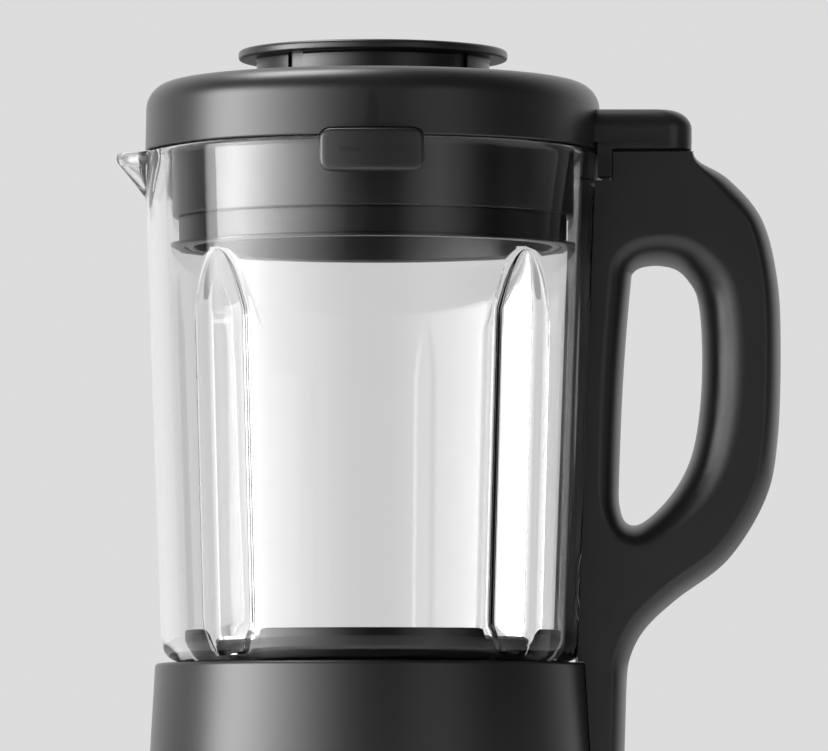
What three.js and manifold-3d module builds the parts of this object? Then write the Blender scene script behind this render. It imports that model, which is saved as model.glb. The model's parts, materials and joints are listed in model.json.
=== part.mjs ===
// A soy milk maker: a lidded glass jug with a heated blade bowl, standing on a round motor base.
// Millimetres, +Z up. The origin is the middle of the flat underside of the base, on the axis that
// the rotor, the blades, the jug and the lid share. The handle points to +X, the spout to -X, and
// the controls and the front latch face -Y.
import * as THREE from "three";
import { mergeVertices } from "three/addons/utils/BufferGeometryUtils.js";
import Module from "manifold-3d";

const wasm = await Module();
wasm.setup();

// Clearances and cutting allowances that all pieces share
const fitGap = 0.3; // round or sliding fit between a piece and what holds it
const seatGap = 0.2; // between faces that rest on each other
const overrun = 3; // how far a cut runs past the faces that it opens
const weldDistance = 0.0001; // corners closer than this are one corner

// Facets of a full turn, by size of the round piece
const wideFacets = 36;
const midFacets = 22;
const smallFacets = 12;
const tinyFacets = 6;

// Main heights, each from the level below it
const baseHeight = 168; // underside of the base to its deck
const seatRingRise = 1; // rubber ring between the deck and the jug
const collarHeight = 68; // foot of the jug, up to the glass
const glassHeight = 180.2; // collar top to glass rim
const lidHeight = 24.5; // glass rim to lid top
const capRise = 11.6; // lid top to cap top

// Glass jug
const glassRimRadius = 80.7;
const glassTaper = 6.5; // from the rim radius to the foot radius
const glassWall = 7;
const glassCorner = 10; // outer corner at the foot
const glassInnerCorner = 3;
const glassFloor = 3; // thickness of the ledge under the bowl
const glassNeckInset = 12.2; // the ring that reaches down into the collar, in from the outer wall
const glassNeckWall = 5;
const glassNeckDepth = 6;
const glassRimRound = 1.5;

// Spout at the rim
const spoutReach = 10.2; // past the outer wall at the rim
const spoutDepth = 17;
const spoutHalfWidth = 17;
const spoutLip = 3.5;

// Flutes moulded into the inner wall
const fluteCount = 4;
const fluteHalfWidth = 12.5;
const fluteDepth = 6;
const fluteFootGap = 1; // above the bowl seal
const fluteHeadGap = 3.7; // below the lid plug

// Glass bosses that carry the handle
const bossRadius = 8;
const bossReach = 4.5;
const upperBossDrop = 25; // below the glass rim
const lowerBossRise = 25; // above the collar top

// Handle, two half shells that meet at the middle plane
const handleReach = 63.4; // glass rim to the outermost point
const gripHalfWidth = 20; // flat flanks, which the spine beside the glass shares
const handleWall = 3;
const handleTopGap = 1; // between the lid arm and the handle top
const spineFootReach = 7; // past the collar's foot
const halfSeam = 0.1; // half of the joint line between the halves

// Handle screws, put in from the back
const handleScrewRadius = 1.6;
const handleScrewHeadRadius = 3.4;
const handleScrewHeadHeight = 3;
const handleScrewSink = 2; // head below the surface
const handlePillarRadius = 5;
const handleScrewShares = [
  [0.352, 0.877],
  [0.273, 0.183],
];

// Switch in the handle and magnet in the lid arm
const switchLength = 18;
const switchWidth = 6;
const switchHeight = 5;
const magnetLength = 14;
const magnetWidth = 10;
const magnetHeight = 6;
const sensingInset = 14.4; // middle of both, in from the end of the arm

// Collar that holds glass, bowl and bearing
const collarStep = 2.5; // collar top past the foot of the glass
const collarFlare = 3.9; // collar foot past its top
const collarWall = 3;
const collarTopRound = 1.5;
const basePlateGap = 0.8; // over the connector flange of the base
const basePlateThickness = 3;
const basePlateBore = 10.5;
const collarPillarRadius = 5;
const collarPillarGap = 1.2; // between the glass neck and the screw pillars
const collarScrewRadius = 1.6;
const collarScrewHeadRadius = 3.6;
const collarScrewHeadHeight = 2.2;
const collarScrewLength = 14;

// Heater bowl, its seal and what lies under it; levels are below the collar top unless said
const bowlThickness = 1.2;
const bowlFlangeLevel = 8; // above the collar top
const bowlNeckGap = 2; // between the mouth of the bowl and the glass neck
const bowlWallSlope = 5; // inward from the mouth to the foot of the wall
const bowlFloorCorner = 6;
const bowlFlatMargin = 2; // level middle of the floor, past the housing nut
const bowlWallLevel = 10;
const bowlEdgeLevel = 20;
const bowlFloorLevel = 24;
const sealGap = 0.9; // to the inner wall of the glass
const sealLip = 3.3;
const sealLedge = 2.7; // under the flange of the bowl
const sealTop = 11.5; // above the collar top
const elementInset = 8; // ring of the element, in from the corner of the floor
const elementRadius = 4.5;
const elementTurn = 310; // degrees of a full ring
const elementSteps = 24;
const terminalShare = 0.42; // of the room between the element and the base plate
const terminalRadius = 2;
const sensorNutGap = 3.5;
const sensorRadius = 3.5;
const sensorHeight = 8;

// Bearing housing and shaft of the blades
const housingRadius = 12;
const housingFlangeWidth = 5; // past the housing's wall, as is the nut below it
const housingFlangeRise = 4;
const housingPlateGap = 2; // over the base plate of the collar
const housingWeb = 4.8;
const bearingRadius = 8;
const bearingShare = 0.28; // height of a bearing, of the housing below the bowl floor
const nutHeight = 6.5;
const shaftSealRadius = 6.2;
const shaftRadius = 4;
const shaftShoulderRadius = 6;
const shaftShoulderHeight = 2.5;
const shaftRecess = 3; // lower end, above the foot of its coupling

// Blades
const bladeThickness = 1.5;
const bladeHalfWidth = 5;
const bladeHubHalf = 8; // flat middle before the arms bend
const upperBladeReach = 26;
const upperBladeRise = 21;
const lowerBladeReach = 31;
const lowerBladeRise = 5;
const bladeNutRadius = 6.5;
const bladeNutHeight = 5;
const hexFacets = 6;

// Coupling between motor and blades
const lobeCount = 6;
const drivenRadius = 11;
const drivenLobe = 2.4; // how far the lobes stand out
const drivenHeight = 13;
const driveWall = 6; // round the socket
const driveHeight = 14.5;
const driveSocketDepth = 10;
const couplingGap = 0.6; // round the lobes and under them

// Electrical connector between base and jug
const connectorColumn = -35;
const connectorLength = 30;
const connectorWidth = 14;
const connectorShare = 0.55; // of the room between the heating element and the base plate
const connectorFlange = 1.7;
const connectorStemDepth = 9;
const connectorWindowLength = 26;
const connectorWindowWidth = 9;
const prongCount = 3;
const prongPitch = 8;
const prongLength = 4;
const prongWidth = 1.6;
const prongGap = 0.5;
const connectorRoof = 1.5; // over the sockets

// Lid cover and its arm
const lidSkirtInset = 0.2; // in from the glass rim
const lidTaper = 0.5;
const lidCorner = 9.5;
const lidWall = 3;
const armReachShare = 0.5;
const armFlankInset = 0.5; // behind the handle's flank
const armTop = 14.4; // above the glass rim
const armCorner = 8; // in side view
const armPlanCorner = 9;
const armEdge = 1.5;
const armPlateThickness = 2.2;
const tongueThickness = 1.8;
const tongueDrop = 10.2; // below the glass rim
const tongueGap = 0.6;

// Lid plug, which reaches into the glass, and its seal
const plugGap = 2.7; // to the inner wall of the glass
const plugWall = 2.5;
const plugShoulder = 23.7; // below the glass rim
const plugStep = 5.2; // in to the spigot below the shoulder
const plugDepth = 34;
const throatGap = 0.8; // round the neck of the vent cap
const throatLedge = 4; // inward step that carries the cap
const throatLedgeDepth = 20; // below the lid top
const lidSealWall = 2.2;
const lidSealReach = 0.5; // lip past the plug
const lidSealLip = 1;

// Vent cap
const capFlangeRadius = 47.6;
const capFlangeThickness = 3.4;
const capNeckRadius = 41.2;
const capNeckWall = 3.2;
const capRound = 1.2;
const ringGrooveDepth = 1.4;
const ringGrooveHeight = 2.6;
const ringGrooveLevel = 10; // below the lid top
const ringThroatGap = 0.25;
const ventCount = 4;
const ventWidth = 7;
const ventLow = 1; // above the lid top
const ventHigh = 7.2;
const ventTurn = 49; // degrees from the spout side to the first slot
const baffleThickness = 1.6;
const baffleSpigotRise = 5;
const baffleHoleCount = 6;
const baffleHoleRadius = 4;
const baffleHoleRing = 22;

// Latches at the front and back of the lid
const latchHalfWidth = 18;
const latchTop = 2; // above the glass rim
const latchDrop = 12.7;
const latchThickness = 3.4;
const latchGap = 0.5; // to the glass
const latchCorner = 3;
const latchNotchGap = 1.2; // above the tab
const latchSideGap = 0.8;
const leverHalfWidth = 11;
const leverBottom = 0.5;
const leverTop = 2;
const knuckleGap = 0.6; // between the knuckles and the plug
const hingeLevel = 6; // above the glass rim
const knuckleRadius = 2.3;
const pinRadius = 1.2;
const earThickness = 3.5;
const reliefTop = 5;

// Shell of the motor base
const baseFlare = 9.4; // foot of the base past its deck
const deckStep = 1; // deck past the foot of the collar
const baseWall = 3;
const deckRound = 1.5;
const turretRadius = 50; // raised middle of the deck, inside the collar
const turretRise = 11.5;
const turretChamfer = 2;
const wellGap = 3; // round the drive coupling
const wellDepth = 18.5;
const seatRingInset = 1; // in from the foot of the collar
const seatRingWidth = 5.6;

// Bottom cover and feet
const coverRecess = 1.5; // feet side of the cover, above its flat middle
const coverThickness = 3;
const coverPlateauShare = 0.53; // radii on the cover, as shares of its own
const ventSlotInnerShare = 0.585;
const ventSlotOuterShare = 0.72;
const footRingShare = 0.85;
const ventSlotCount = 12;
const ventSlotWidth = 5;
const footRadius = 8;
const footDrop = 4; // below the underside
const footCount = 4;

// Motor
const statorRadius = 42;
const statorBore = 24.5;
const statorHeight = 45;
const windingInset = 2.5; // from the bore
const windingMargin = 5; // from the outside
const windingRise = 8;
const bracketHeight = 13;
const bracketWall = 3;
const bracketBoreGap = 0.5; // round the rotor shaft
const bracketPostRadius = 4;
const bracketPostInset = 7; // in from the wall of the turret
const bracketPostCount = 4;
const airGap = 0.9; // between rotor and stator
const rotorShaftRadius = 7.5;
const rotorTail = 3; // shaft below the fan
const fanRadius = 36;
const fanHubRadius = 11;
const fanPlate = 2;
const fanBladeHeight = 9;
const fanBladeCount = 9;
const fanBladeThickness = 2;
const fanBoardGap = 3.4; // over the power board's capacitors
const fanMotorGap = 10.8; // under the lower bracket

// Boards
const boardThickness = 1.6;
const powerBoardLength = 100;
const powerBoardWidth = 60;
const powerBoardLevel = 10;
const powerBoardPostRadius = 3;
const capacitorRadius = 6;
const capacitorHeight = 12;
const transformerLength = 22;
const transformerWidth = 18;
const transformerHeight = 10;

// Control panel at the front
const panelHalfWidth = 40;
const panelBottom = 32;
const panelTop = 138;
const panelCorner = 8;
const panelProud = 1;
const panelThickness = 4;
const panelGap = 0.4;
const windowHalfWidth = 22;
const windowHalfHeight = 10;
const windowDrop = 20; // middle of the window, below the panel's top
const windowCorner = 3;
const knobLevel = 82;
const knobRadius = 17;
const knobHeight = 13;
const knobEdge = 1.5;
const knobGap = 0.6;
const knobStemRadius = 3.5;
const pointerWidth = 2;
const pointerLength = 9;
const pointerDepth = 1;
const buttonLevel = 48;
const buttonColumn = 17;
const buttonRadius = 7;
const buttonProud = 2.6;
const buttonDepth = 7;
const buttonStemRadius = 2.2;
const buttonTravelRoom = 1.6; // between the stem and the board
const controlBoardDepth = 13.3; // front face of the board, in from the base at the panel's top
const controlBoardInset = 4; // in from the panel's sides
const controlPostRadius = 2.5;

// Mains inlet at the back
const inletLevel = 32;
const inletHalfWidth = 14;
const inletHalfHeight = 11;
const inletFlange = 3;
const inletFlangeThickness = 4;
const inletProud = 2.4; // outer face past the base
const inletDepth = 21;
const inletRecessHalfWidth = 11.5;
const inletRecessHalfHeight = 7.5;
const inletRecessDepth = 16;
const inletPinLength = 12;
const inletPinWidth = 2;
const inletPinHeight = 4;
const inletPinPitch = 7;

// Levels that follow from the heights
const collarFoot = baseHeight + seatRingRise + seatGap;
const collarTop = collarFoot + collarHeight;
const rimLevel = collarTop + glassHeight + seatGap;
const lidTop = rimLevel + lidHeight;

// Radii and places that follow from the sizes above, from the glass outwards and inwards
const glassFootRadius = glassRimRadius - glassTaper;
const collarTopRadius = glassFootRadius + collarStep;
const collarFootRadius = collarTopRadius + collarFlare;
const baseDeckRadius = collarFootRadius + deckStep;
const baseFootRadius = baseDeckRadius + baseFlare;
const glassNeckRadius = glassFootRadius - glassNeckInset;
const lidSkirtRadius = glassRimRadius - lidSkirtInset;
const lidTopRadius = lidSkirtRadius - lidTaper;
const throatRadius = capNeckRadius + throatGap;
const plugRadius = glassRimRadius - glassWall - plugGap;
const plugSpigotRadius = plugRadius - plugStep;
const armReach = glassRimRadius + armReachShare * handleReach;
const armHalfWidth = gripHalfWidth - armFlankInset;
const sensingColumn = armReach - sensingInset;
const latchRadius = glassRimRadius + latchGap + latchThickness;
const hingeRing = plugRadius + knuckleGap + knuckleRadius;
const sealRadius = glassFootRadius - glassWall - sealGap;
const bowlFlangeRadius = sealRadius - sealLip - fitGap;
const sealInnerRadius = bowlFlangeRadius - sealLedge;
const bowlMouthRadius = glassNeckRadius - glassNeckWall - bowlNeckGap;
const bowlWallRadius = bowlMouthRadius - bowlWallSlope;
const bowlFloorRadius = bowlWallRadius - bowlFloorCorner;
const nutRadius = housingRadius + housingFlangeWidth;
const bowlFlatRadius = nutRadius + bowlFlatMargin;
const elementRing = bowlFloorRadius - elementInset;
const sensorRing = nutRadius + sensorNutGap + sensorRadius;
const collarPillarRing = glassNeckRadius + collarPillarGap + collarPillarRadius;
const driveRadius = drivenRadius + driveWall;
const wellRadius = driveRadius + wellGap;
const windingInner = statorBore + windingInset;
const windingOuter = statorRadius - windingMargin;
const bracketPostRing = turretRadius - baseWall - bracketPostInset - bracketPostRadius;
const rotorCoreRadius = statorBore - airGap;
const windowLevel = panelTop - windowDrop;
const controlBoardPlane = baseRadiusAt(panelTop) - controlBoardDepth;
const controlBoardHalfWidth = panelHalfWidth - controlBoardInset;
const inletFlangeFace = baseRadiusAt(inletLevel) + inletProud;

// Heights that follow from them, below the collar top
const basePlateLevel = turretRise - seatRingRise + connectorFlange + basePlateGap;
const basePlateTop = -collarHeight + basePlateLevel + basePlateThickness;
const housingTop = -bowlFloorLevel + seatGap + housingFlangeRise;
const housingFoot = basePlateTop + housingPlateGap;
const bearingHeight = bearingShare * (-bowlFloorLevel - housingFoot);
const drivenTop = -collarHeight + basePlateLevel - couplingGap;
const drivenFoot = drivenTop - drivenHeight;

// Heights that follow from them, in the motor base
const turretTop = baseHeight + turretRise;
const deckUnder = baseHeight - baseWall;
const wellFloor = turretTop - wellDepth;
const fanBottom = powerBoardLevel + boardThickness + capacitorHeight + fanBoardGap;
const lowerBracketFoot = fanBottom + fanPlate + fanBladeHeight + fanMotorGap;
const statorBottom = lowerBracketFoot + bracketHeight + seatGap;
const statorTop = statorBottom + statorHeight;

// Materials, coloured from the photograph where it shows them
function finish(name, color, roughness, metalness, extra = {}) {
  return new THREE.MeshStandardMaterial({ name, color, roughness, metalness, ...extra });
}
const blackPlastic = finish("black moulded plastic", 0x161617, 0.45, 0);
const glossPlastic = finish("black gloss plastic", 0x0c0c0d, 0.2, 0);
const clearGlass = finish("clear pressed glass", 0xdfe5e6, 0.05, 0, { transparent: true, opacity: 0.35 });
const darkRubber = finish("black silicone rubber", 0x131313, 0.7, 0);
const sheetSteel = finish("stainless sheet steel", 0xb9bcbe, 0.3, 1);
const turnedSteel = finish("turned steel", 0x9fa3a6, 0.35, 1);
const castAluminium = finish("cast aluminium", 0xa8abad, 0.5, 1);
const copperWinding = finish("lacquered copper and iron", 0x8a5a35, 0.5, 1);
const boardGreen = finish("circuit board", 0x1f5a3a, 0.6, 0);
const darkWindow = finish("smoked display window", 0x0a0b0d, 0.08, 0);
const magnetGrey = finish("nickel plated magnet", 0x8f9294, 0.3, 1);

// Closed solids for joining and cutting
function solidOf(geometry) {
  let closed = geometry;
  if (!geometry.userData.closed) {
    const bare = new THREE.BufferGeometry();
    bare.setAttribute("position", geometry.getAttribute("position"));
    bare.setIndex(geometry.index);
    closed = mergeVertices(bare, weldDistance);
  }
  const mesh = new wasm.Mesh({
    numProp: 3,
    vertProperties: closed.attributes.position.array,
    triVerts: new Uint32Array(closed.index.array),
  });
  return new wasm.Manifold(mesh);
}

function geometryOf(solid) {
  const mesh = solid.getMesh();
  const geometry = new THREE.BufferGeometry();
  geometry.setAttribute("position", new THREE.BufferAttribute(mesh.vertProperties, 3));
  geometry.setIndex(new THREE.BufferAttribute(mesh.triVerts, 1));
  geometry.userData.closed = true;
  return geometry;
}

function join(first, ...others) {
  return geometryOf(others.reduce((whole, other) => whole.add(solidOf(other)), solidOf(first)));
}

function cut(first, ...others) {
  return geometryOf(others.reduce((rest, other) => rest.subtract(solidOf(other)), solidOf(first)));
}

function common(first, ...others) {
  return geometryOf(others.reduce((rest, other) => rest.intersect(solidOf(other)), solidOf(first)));
}

// Shapes that most pieces are made of
function turned(profile, facets = wideFacets) {
  const points = profile.map(([radius, height]) => new THREE.Vector2(radius, height));
  if (THREE.ShapeUtils.area(points) < 0) points.reverse();
  const onAxis = points[0].x === 0 && points[points.length - 1].x === 0;
  if (!onAxis) points.push(points[0].clone());
  return new THREE.LatheGeometry(points, facets).rotateX(Math.PI / 2);
}

function disc(radius, bottom, top, facets = midFacets) {
  return turned([[0, bottom], [radius, bottom], [radius, top], [0, top]], facets);
}

function ring(inner, outer, bottom, top, facets = midFacets) {
  return turned([[inner, bottom], [outer, bottom], [outer, top], [inner, top]], facets);
}

function block(x, y, z) {
  const size = [x[1] - x[0], y[1] - y[0], z[1] - z[0]];
  const middle = [(x[0] + x[1]) / 2, (y[0] + y[1]) / 2, (z[0] + z[1]) / 2];
  return new THREE.BoxGeometry(...size).translate(...middle);
}

function rod(radius, from, to, facets = smallFacets) {
  // a rod along Y between two depths
  return disc(radius, from, to, facets).rotateX(-Math.PI / 2);
}

function arc(centreX, centreY, radius, fromDegrees, toDegrees, steps) {
  const points = [];
  for (let i = 0; i <= steps; i++) {
    const angle = THREE.MathUtils.degToRad(fromDegrees + ((toDegrees - fromDegrees) * i) / steps);
    points.push([centreX + radius * Math.cos(angle), centreY + radius * Math.sin(angle)]);
  }
  return points;
}

function outline(points) {
  return new THREE.Shape(points.map(([x, y]) => new THREE.Vector2(x, y)));
}

function roundedRectangle(left, right, low, high, corner, steps = 3) {
  return outline([
    ...arc(right - corner, low + corner, corner, -90, 0, steps),
    ...arc(right - corner, high - corner, corner, 0, 90, steps),
    ...arc(left + corner, high - corner, corner, 90, 180, steps),
    ...arc(left + corner, low + corner, corner, 180, 270, steps),
  ]);
}

function slab(shape, low, high) {
  return new THREE.ExtrudeGeometry(shape, { depth: high - low, bevelEnabled: false }).translate(0, 0, low);
}

// A shape drawn in X and Z, pushed along Y from one depth to the other
function sideSlab(shape, from, to) {
  return slab(shape, -to, -from).rotateX(Math.PI / 2);
}

// The same with a rounded edge on both faces, inside the drawn outline
function softSideSlab(shape, halfWidth, edge, edgeSteps = 2) {
  const settings = {
    depth: 2 * (halfWidth - edge),
    bevelThickness: edge,
    bevelSize: edge,
    bevelOffset: -edge,
    bevelSegments: edgeSteps,
    curveSegments: 2,
  };
  return new THREE.ExtrudeGeometry(shape, settings)
    .translate(0, 0, edge - halfWidth)
    .rotateX(Math.PI / 2);
}

// A closed skin through level rings that have as many points each
function lofted(rings) {
  const size = rings[0].length;
  const index = [];
  for (let level = 0; level < rings.length - 1; level++) {
    for (let i = 0; i < size; i++) {
      const low = level * size;
      const high = low + size;
      const next = (i + 1) % size;
      index.push(low + i, low + next, high + next);
      index.push(low + i, high + next, high + i);
    }
  }
  const flat = (points) => points.map((point) => new THREE.Vector2(point[0], point[1]));
  const last = (rings.length - 1) * size;
  THREE.ShapeUtils.triangulateShape(flat(rings[0]), []).forEach(([a, b, c]) => index.push(a, c, b));
  const cap = THREE.ShapeUtils.triangulateShape(flat(rings[rings.length - 1]), []);
  cap.forEach(([a, b, c]) => index.push(last + a, last + b, last + c));
  const geometry = new THREE.BufferGeometry();
  geometry.setAttribute("position", new THREE.Float32BufferAttribute(rings.flat(2), 3));
  geometry.setIndex(index);
  geometry.userData.closed = true;
  return geometry;
}

function quarterTurns(geometry, count, startDegrees = 0) {
  // copies of a piece, spread evenly round the axis
  const copies = [];
  for (let i = 0; i < count; i++) {
    const angle = THREE.MathUtils.degToRad(startDegrees + (360 * i) / count);
    copies.push(geometry.clone().rotateZ(angle));
  }
  return copies;
}

function piece(name, geometry, material) {
  const faces = geometry.index ? geometry.toNonIndexed() : geometry;
  faces.computeVertexNormals();
  const mesh = new THREE.Mesh(faces, material);
  mesh.name = name;
  return mesh;
}

function assembly(level, ...pieces) {
  const group = new THREE.Group();
  group.position.z = level;
  group.add(...pieces);
  return group;
}

// Radii that several pieces follow
function glassRadiusAt(height) {
  return glassFootRadius + ((glassRimRadius - glassFootRadius) * height) / glassHeight;
}

function collarRadiusAt(height) {
  // height above the foot of the collar
  return collarFootRadius + ((collarTopRadius - collarFootRadius) * height) / collarHeight;
}

function baseRadiusAt(height) {
  return baseFootRadius + ((baseDeckRadius - baseFootRadius) * height) / baseHeight;
}

// Glass jug; heights are above the collar top
function glassShell() {
  const rimInner = glassRimRadius - glassWall;
  const neckInner = glassNeckRadius - glassNeckWall;
  const wallFoot = glassFloor + glassInnerCorner;
  const wallFootRadius = glassRadiusAt(wallFoot) - glassWall;
  const cornerCentre = glassFootRadius - glassCorner;
  return turned([
    [neckInner, -glassNeckDepth],
    [glassNeckRadius, -glassNeckDepth],
    [glassNeckRadius, seatGap],
    ...arc(cornerCentre, seatGap + glassCorner, glassCorner, -90, 0, 3),
    ...arc(glassRimRadius - glassRimRound, glassHeight - glassRimRound, glassRimRound, 0, 90, 1),
    ...arc(rimInner + glassRimRound, glassHeight - glassRimRound, glassRimRound, 90, 180, 1),
    ...arc(wallFootRadius - glassInnerCorner, wallFoot, glassInnerCorner, 0, -90, 1),
    [neckInner, glassFloor],
  ]);
}

// Half ellipses of the spout, growing from its foot to the rim
const spoutShares = [
  [0, 0.05, 0.45],
  [0.3, 0.28, 0.66],
  [0.6, 0.6, 0.84],
  [0.85, 0.88, 0.96],
  [1, 1, 1],
];

function spoutRings(inset, backing, rise) {
  const steps = 8;
  return spoutShares.map(([heightShare, reachShare, widthShare], level) => {
    const height = glassHeight - spoutDepth * (1 - heightShare);
    const wallRadius = glassRadiusAt(height);
    const back = wallRadius - backing;
    const reach = backing + spoutReach * reachShare - inset;
    const halfWidth = spoutHalfWidth * widthShare - inset;
    const top = level === spoutShares.length - 1 ? rise : 0;
    const half = arc(0, 0, 1, 90, -90, steps);
    return half.map(([cos, sin]) => [-back - reach * cos, halfWidth * sin, height + top]);
  });
}

function flute(angleDegrees) {
  // height share, width share and depth share along the flute
  const alongShares = [
    [0, 0.35, 0.15],
    [0.08, 1, 0.9],
    [0.7, 1, 1],
    [0.86, 0.8, 0.7],
    [1, 0.12, 0.06],
  ];
  const steps = 8;
  const fluteBottom = sealTop + fluteFootGap;
  const fluteTop = glassHeight - plugDepth - fluteHeadGap;
  const rings = alongShares.map(([heightShare, widthShare, depthShare]) => {
    const height = fluteBottom + (fluteTop - fluteBottom) * heightShare;
    const wallRadius = glassRadiusAt(height) - glassWall;
    const points = [];
    for (let i = 0; i <= steps; i++) {
      const across = 1 - (2 * i) / steps;
      const angle = (fluteHalfWidth * widthShare * across) / wallRadius;
      const depth = fluteDepth * depthShare * Math.cos((across * Math.PI) / 2) ** 2;
      points.push([angle, wallRadius - depth]);
    }
    const edge = points[0][0];
    points.push([-edge, wallRadius + glassWall / 2], [edge, wallRadius + glassWall / 2]);
    const turn = THREE.MathUtils.degToRad(angleDegrees);
    return points.map(([angle, radius]) => [
      radius * Math.cos(turn + angle),
      radius * Math.sin(turn + angle),
      height,
    ]);
  });
  return lofted(rings);
}

function handleBoss(level, grow = 0) {
  const wallMiddle = glassRadiusAt(level) - glassWall / 2;
  const end = glassRadiusAt(level) + bossReach + grow;
  return disc(bossRadius + grow, wallMiddle, end, smallFacets).rotateY(Math.PI / 2).translate(0, 0, level);
}

function glassJug() {
  const flutes = [];
  for (let i = 0; i < fluteCount; i++) flutes.push(flute(45 + (360 * i) / fluteCount));
  const outside = join(glassShell(), lofted(spoutRings(0, glassWall / 2, 0)), ...flutes);
  const spoutChannel = lofted(spoutRings(spoutLip, glassWall + overrun, overrun));
  const withSpout = cut(outside, spoutChannel);
  return join(withSpout, ...handleBossLevels().map((level) => handleBoss(level)));
}

function handleBossLevels() {
  return [glassHeight - upperBossDrop, lowerBossRise];
}

// Handle outline, from the top corner downwards, as shares of its reach past the glass rim and
// of the glass height; the third share is the width of the rounding beside it, of the half width
const gripOuterShares = [
  [0.511, 0.9945, 0.1],
  [0.705, 0.946, 0.335],
  [0.888, 0.868, 0.335],
  [0.978, 0.751, 0.335],
  [1, 0.614, 0.335],
  [0.972, 0.438, 0.335],
  [0.894, 0.321, 0.335],
  [0.689, 0.203, 0.335],
  [0.416, 0.125, 0.335],
  [0.24, 0.0666, 0.335],
  [0.155, 0.008, 0.335],
  [0.136, -0.0555, 0.3],
];
const fingerGapShares = [
  [0.161, 0.73, 0.45],
  [0.186, 0.768, 0.47],
  [0.29, 0.7795, 0.5],
  [0.409, 0.773, 0.55],
  [0.485, 0.75, 0.62],
  [0.539, 0.711, 0.7],
  [0.561, 0.622, 0.73],
  [0.553, 0.516, 0.73],
  [0.514, 0.422, 0.7],
  [0.444, 0.3595, 0.65],
  [0.336, 0.308, 0.55],
  [0.218, 0.2735, 0.45],
  [0.139, 0.2745, 0.4],
  [0.102, 0.305, 0.4],
  [0.098, 0.36, 0.42],
  [0.1216, 0.555, 0.44],
];
const footRoundingShare = 0.05;

function placedShares(shares) {
  return shares.map(([reach, height, rounding = 0]) =>
    new THREE.Vector3(glassRimRadius + reach * handleReach, height * glassHeight, rounding),
  );
}

function smoothPoints(points, divisions) {
  return new THREE.CatmullRomCurve3(points, false, "catmullrom").getPoints(divisions);
}

function handleSides() {
  const foot = -collarHeight;
  const outer = smoothPoints(placedShares(gripOuterShares), 24);
  const top = outer[0].y;
  const inner = glassNeckRadius;
  const outside = [
    new THREE.Vector3(inner, foot, footRoundingShare),
    new THREE.Vector3(collarFootRadius + spineFootReach, foot, footRoundingShare),
    ...outer.reverse(),
    new THREE.Vector3(inner, top, footRoundingShare),
  ];
  const gapCorners = placedShares(fingerGapShares);
  const gap = smoothPoints([...gapCorners, gapCorners[0]], 32).slice(1).reverse();
  return { outside, gap };
}

// Level rings of a closed outline whose sides are half ellipses, lying across Y; the outline is
// moved to its left by a distance, and by its own rounding towards the flanks
function ellipticRings(points, halfWidth, distance, outwards = 1) {
  const count = points.length;
  const turns = [-90, -60, -30, 0, 30, 60, 90];
  return turns.map((turn) => {
    const angle = THREE.MathUtils.degToRad(turn);
    return points.map((point, i) => {
      const before = points[(i + count - 1) % count];
      const after = points[(i + 1) % count];
      const along = after.clone().sub(before).setZ(0).normalize();
      const move = distance + outwards * point.z * gripHalfWidth * (1 - Math.cos(angle));
      return [point.x - along.y * move, point.y + along.x * move, halfWidth * Math.sin(angle)];
    });
  });
}

// The handle's outer form, or what its hollow leaves of it, moved in by a wall
function gripForm(wall) {
  const { outside, gap } = handleSides();
  const halfWidth = gripHalfWidth - wall;
  const around = lofted(ellipticRings(outside, halfWidth, wall));
  const gapRings = ellipticRings(gap, halfWidth, -wall, -1);
  const past = (points, depth) => points.map(([x, y]) => [x, y, depth]);
  const first = past(gapRings[0], -halfWidth - overrun);
  const last = past(gapRings[gapRings.length - 1], halfWidth + overrun);
  const through = lofted([first, ...gapRings, last]);
  return cut(around, through).rotateX(Math.PI / 2);
}

function jugEnvelope(grow) {
  // the space that glass and collar fill, swelled by a distance
  return turned([
    [0, -collarHeight - overrun],
    [collarRadiusAt(-overrun) + grow, -collarHeight - overrun],
    [collarTopRadius + grow, grow],
    [glassFootRadius + grow, grow],
    [glassRadiusAt(glassHeight + overrun) + grow, glassHeight + overrun],
    [0, glassHeight + overrun],
  ]);
}

function handleScrewHole({ x, y }) {
  const headSeat = gripHalfWidth - handleScrewSink - handleScrewHeadHeight - seatGap;
  const tip = handleWall - gripHalfWidth - seatGap;
  const shank = rod(handleScrewRadius + fitGap / 2, tip, headSeat + overrun);
  const head = rod(handleScrewHeadRadius + fitGap, headSeat, gripHalfWidth + overrun);
  return join(shank, head).translate(x, 0, y);
}

function handleBody() {
  const notchFloor = glassHeight - tongueDrop - seatGap - handleTopGap;
  const screwPlaces = placedShares(handleScrewShares);
  const pillars = screwPlaces.map(({ x, y }) =>
    rod(handlePillarRadius, -gripHalfWidth, gripHalfWidth).translate(x, 0, y),
  );
  const hollow = cut(
    gripForm(handleWall),
    jugEnvelope(handleWall + fitGap),
    disc(tongueOuterRadius() + tongueGap + handleWall, notchFloor - handleWall, glassHeight, wideFacets),
    ...pillars,
  );

  return cut(
    gripForm(0),
    jugEnvelope(fitGap),
    disc(tongueOuterRadius() + tongueGap, notchFloor, glassHeight, wideFacets),
    hollow,
    ...handleBossLevels().map((level) => handleBoss(level, fitGap)),
    ...screwPlaces.map(handleScrewHole),
  );
}

function handleHalf(side) {
  const far = side * (gripHalfWidth + overrun);
  const near = side * halfSeam;
  const half = block(
    [0, glassRimRadius + handleReach + overrun],
    side < 0 ? [far, near] : [near, far],
    [-collarHeight - overrun, glassHeight],
  );
  return common(handleBody(), half);
}

function handleScrew({ x, y }) {
  const headSeat = gripHalfWidth - handleScrewSink - handleScrewHeadHeight;
  const shank = rod(handleScrewRadius, handleWall - gripHalfWidth, headSeat + seatGap, tinyFacets);
  const head = rod(handleScrewHeadRadius, headSeat, headSeat + handleScrewHeadHeight);
  return join(shank, head).translate(x, 0, y);
}

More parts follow.
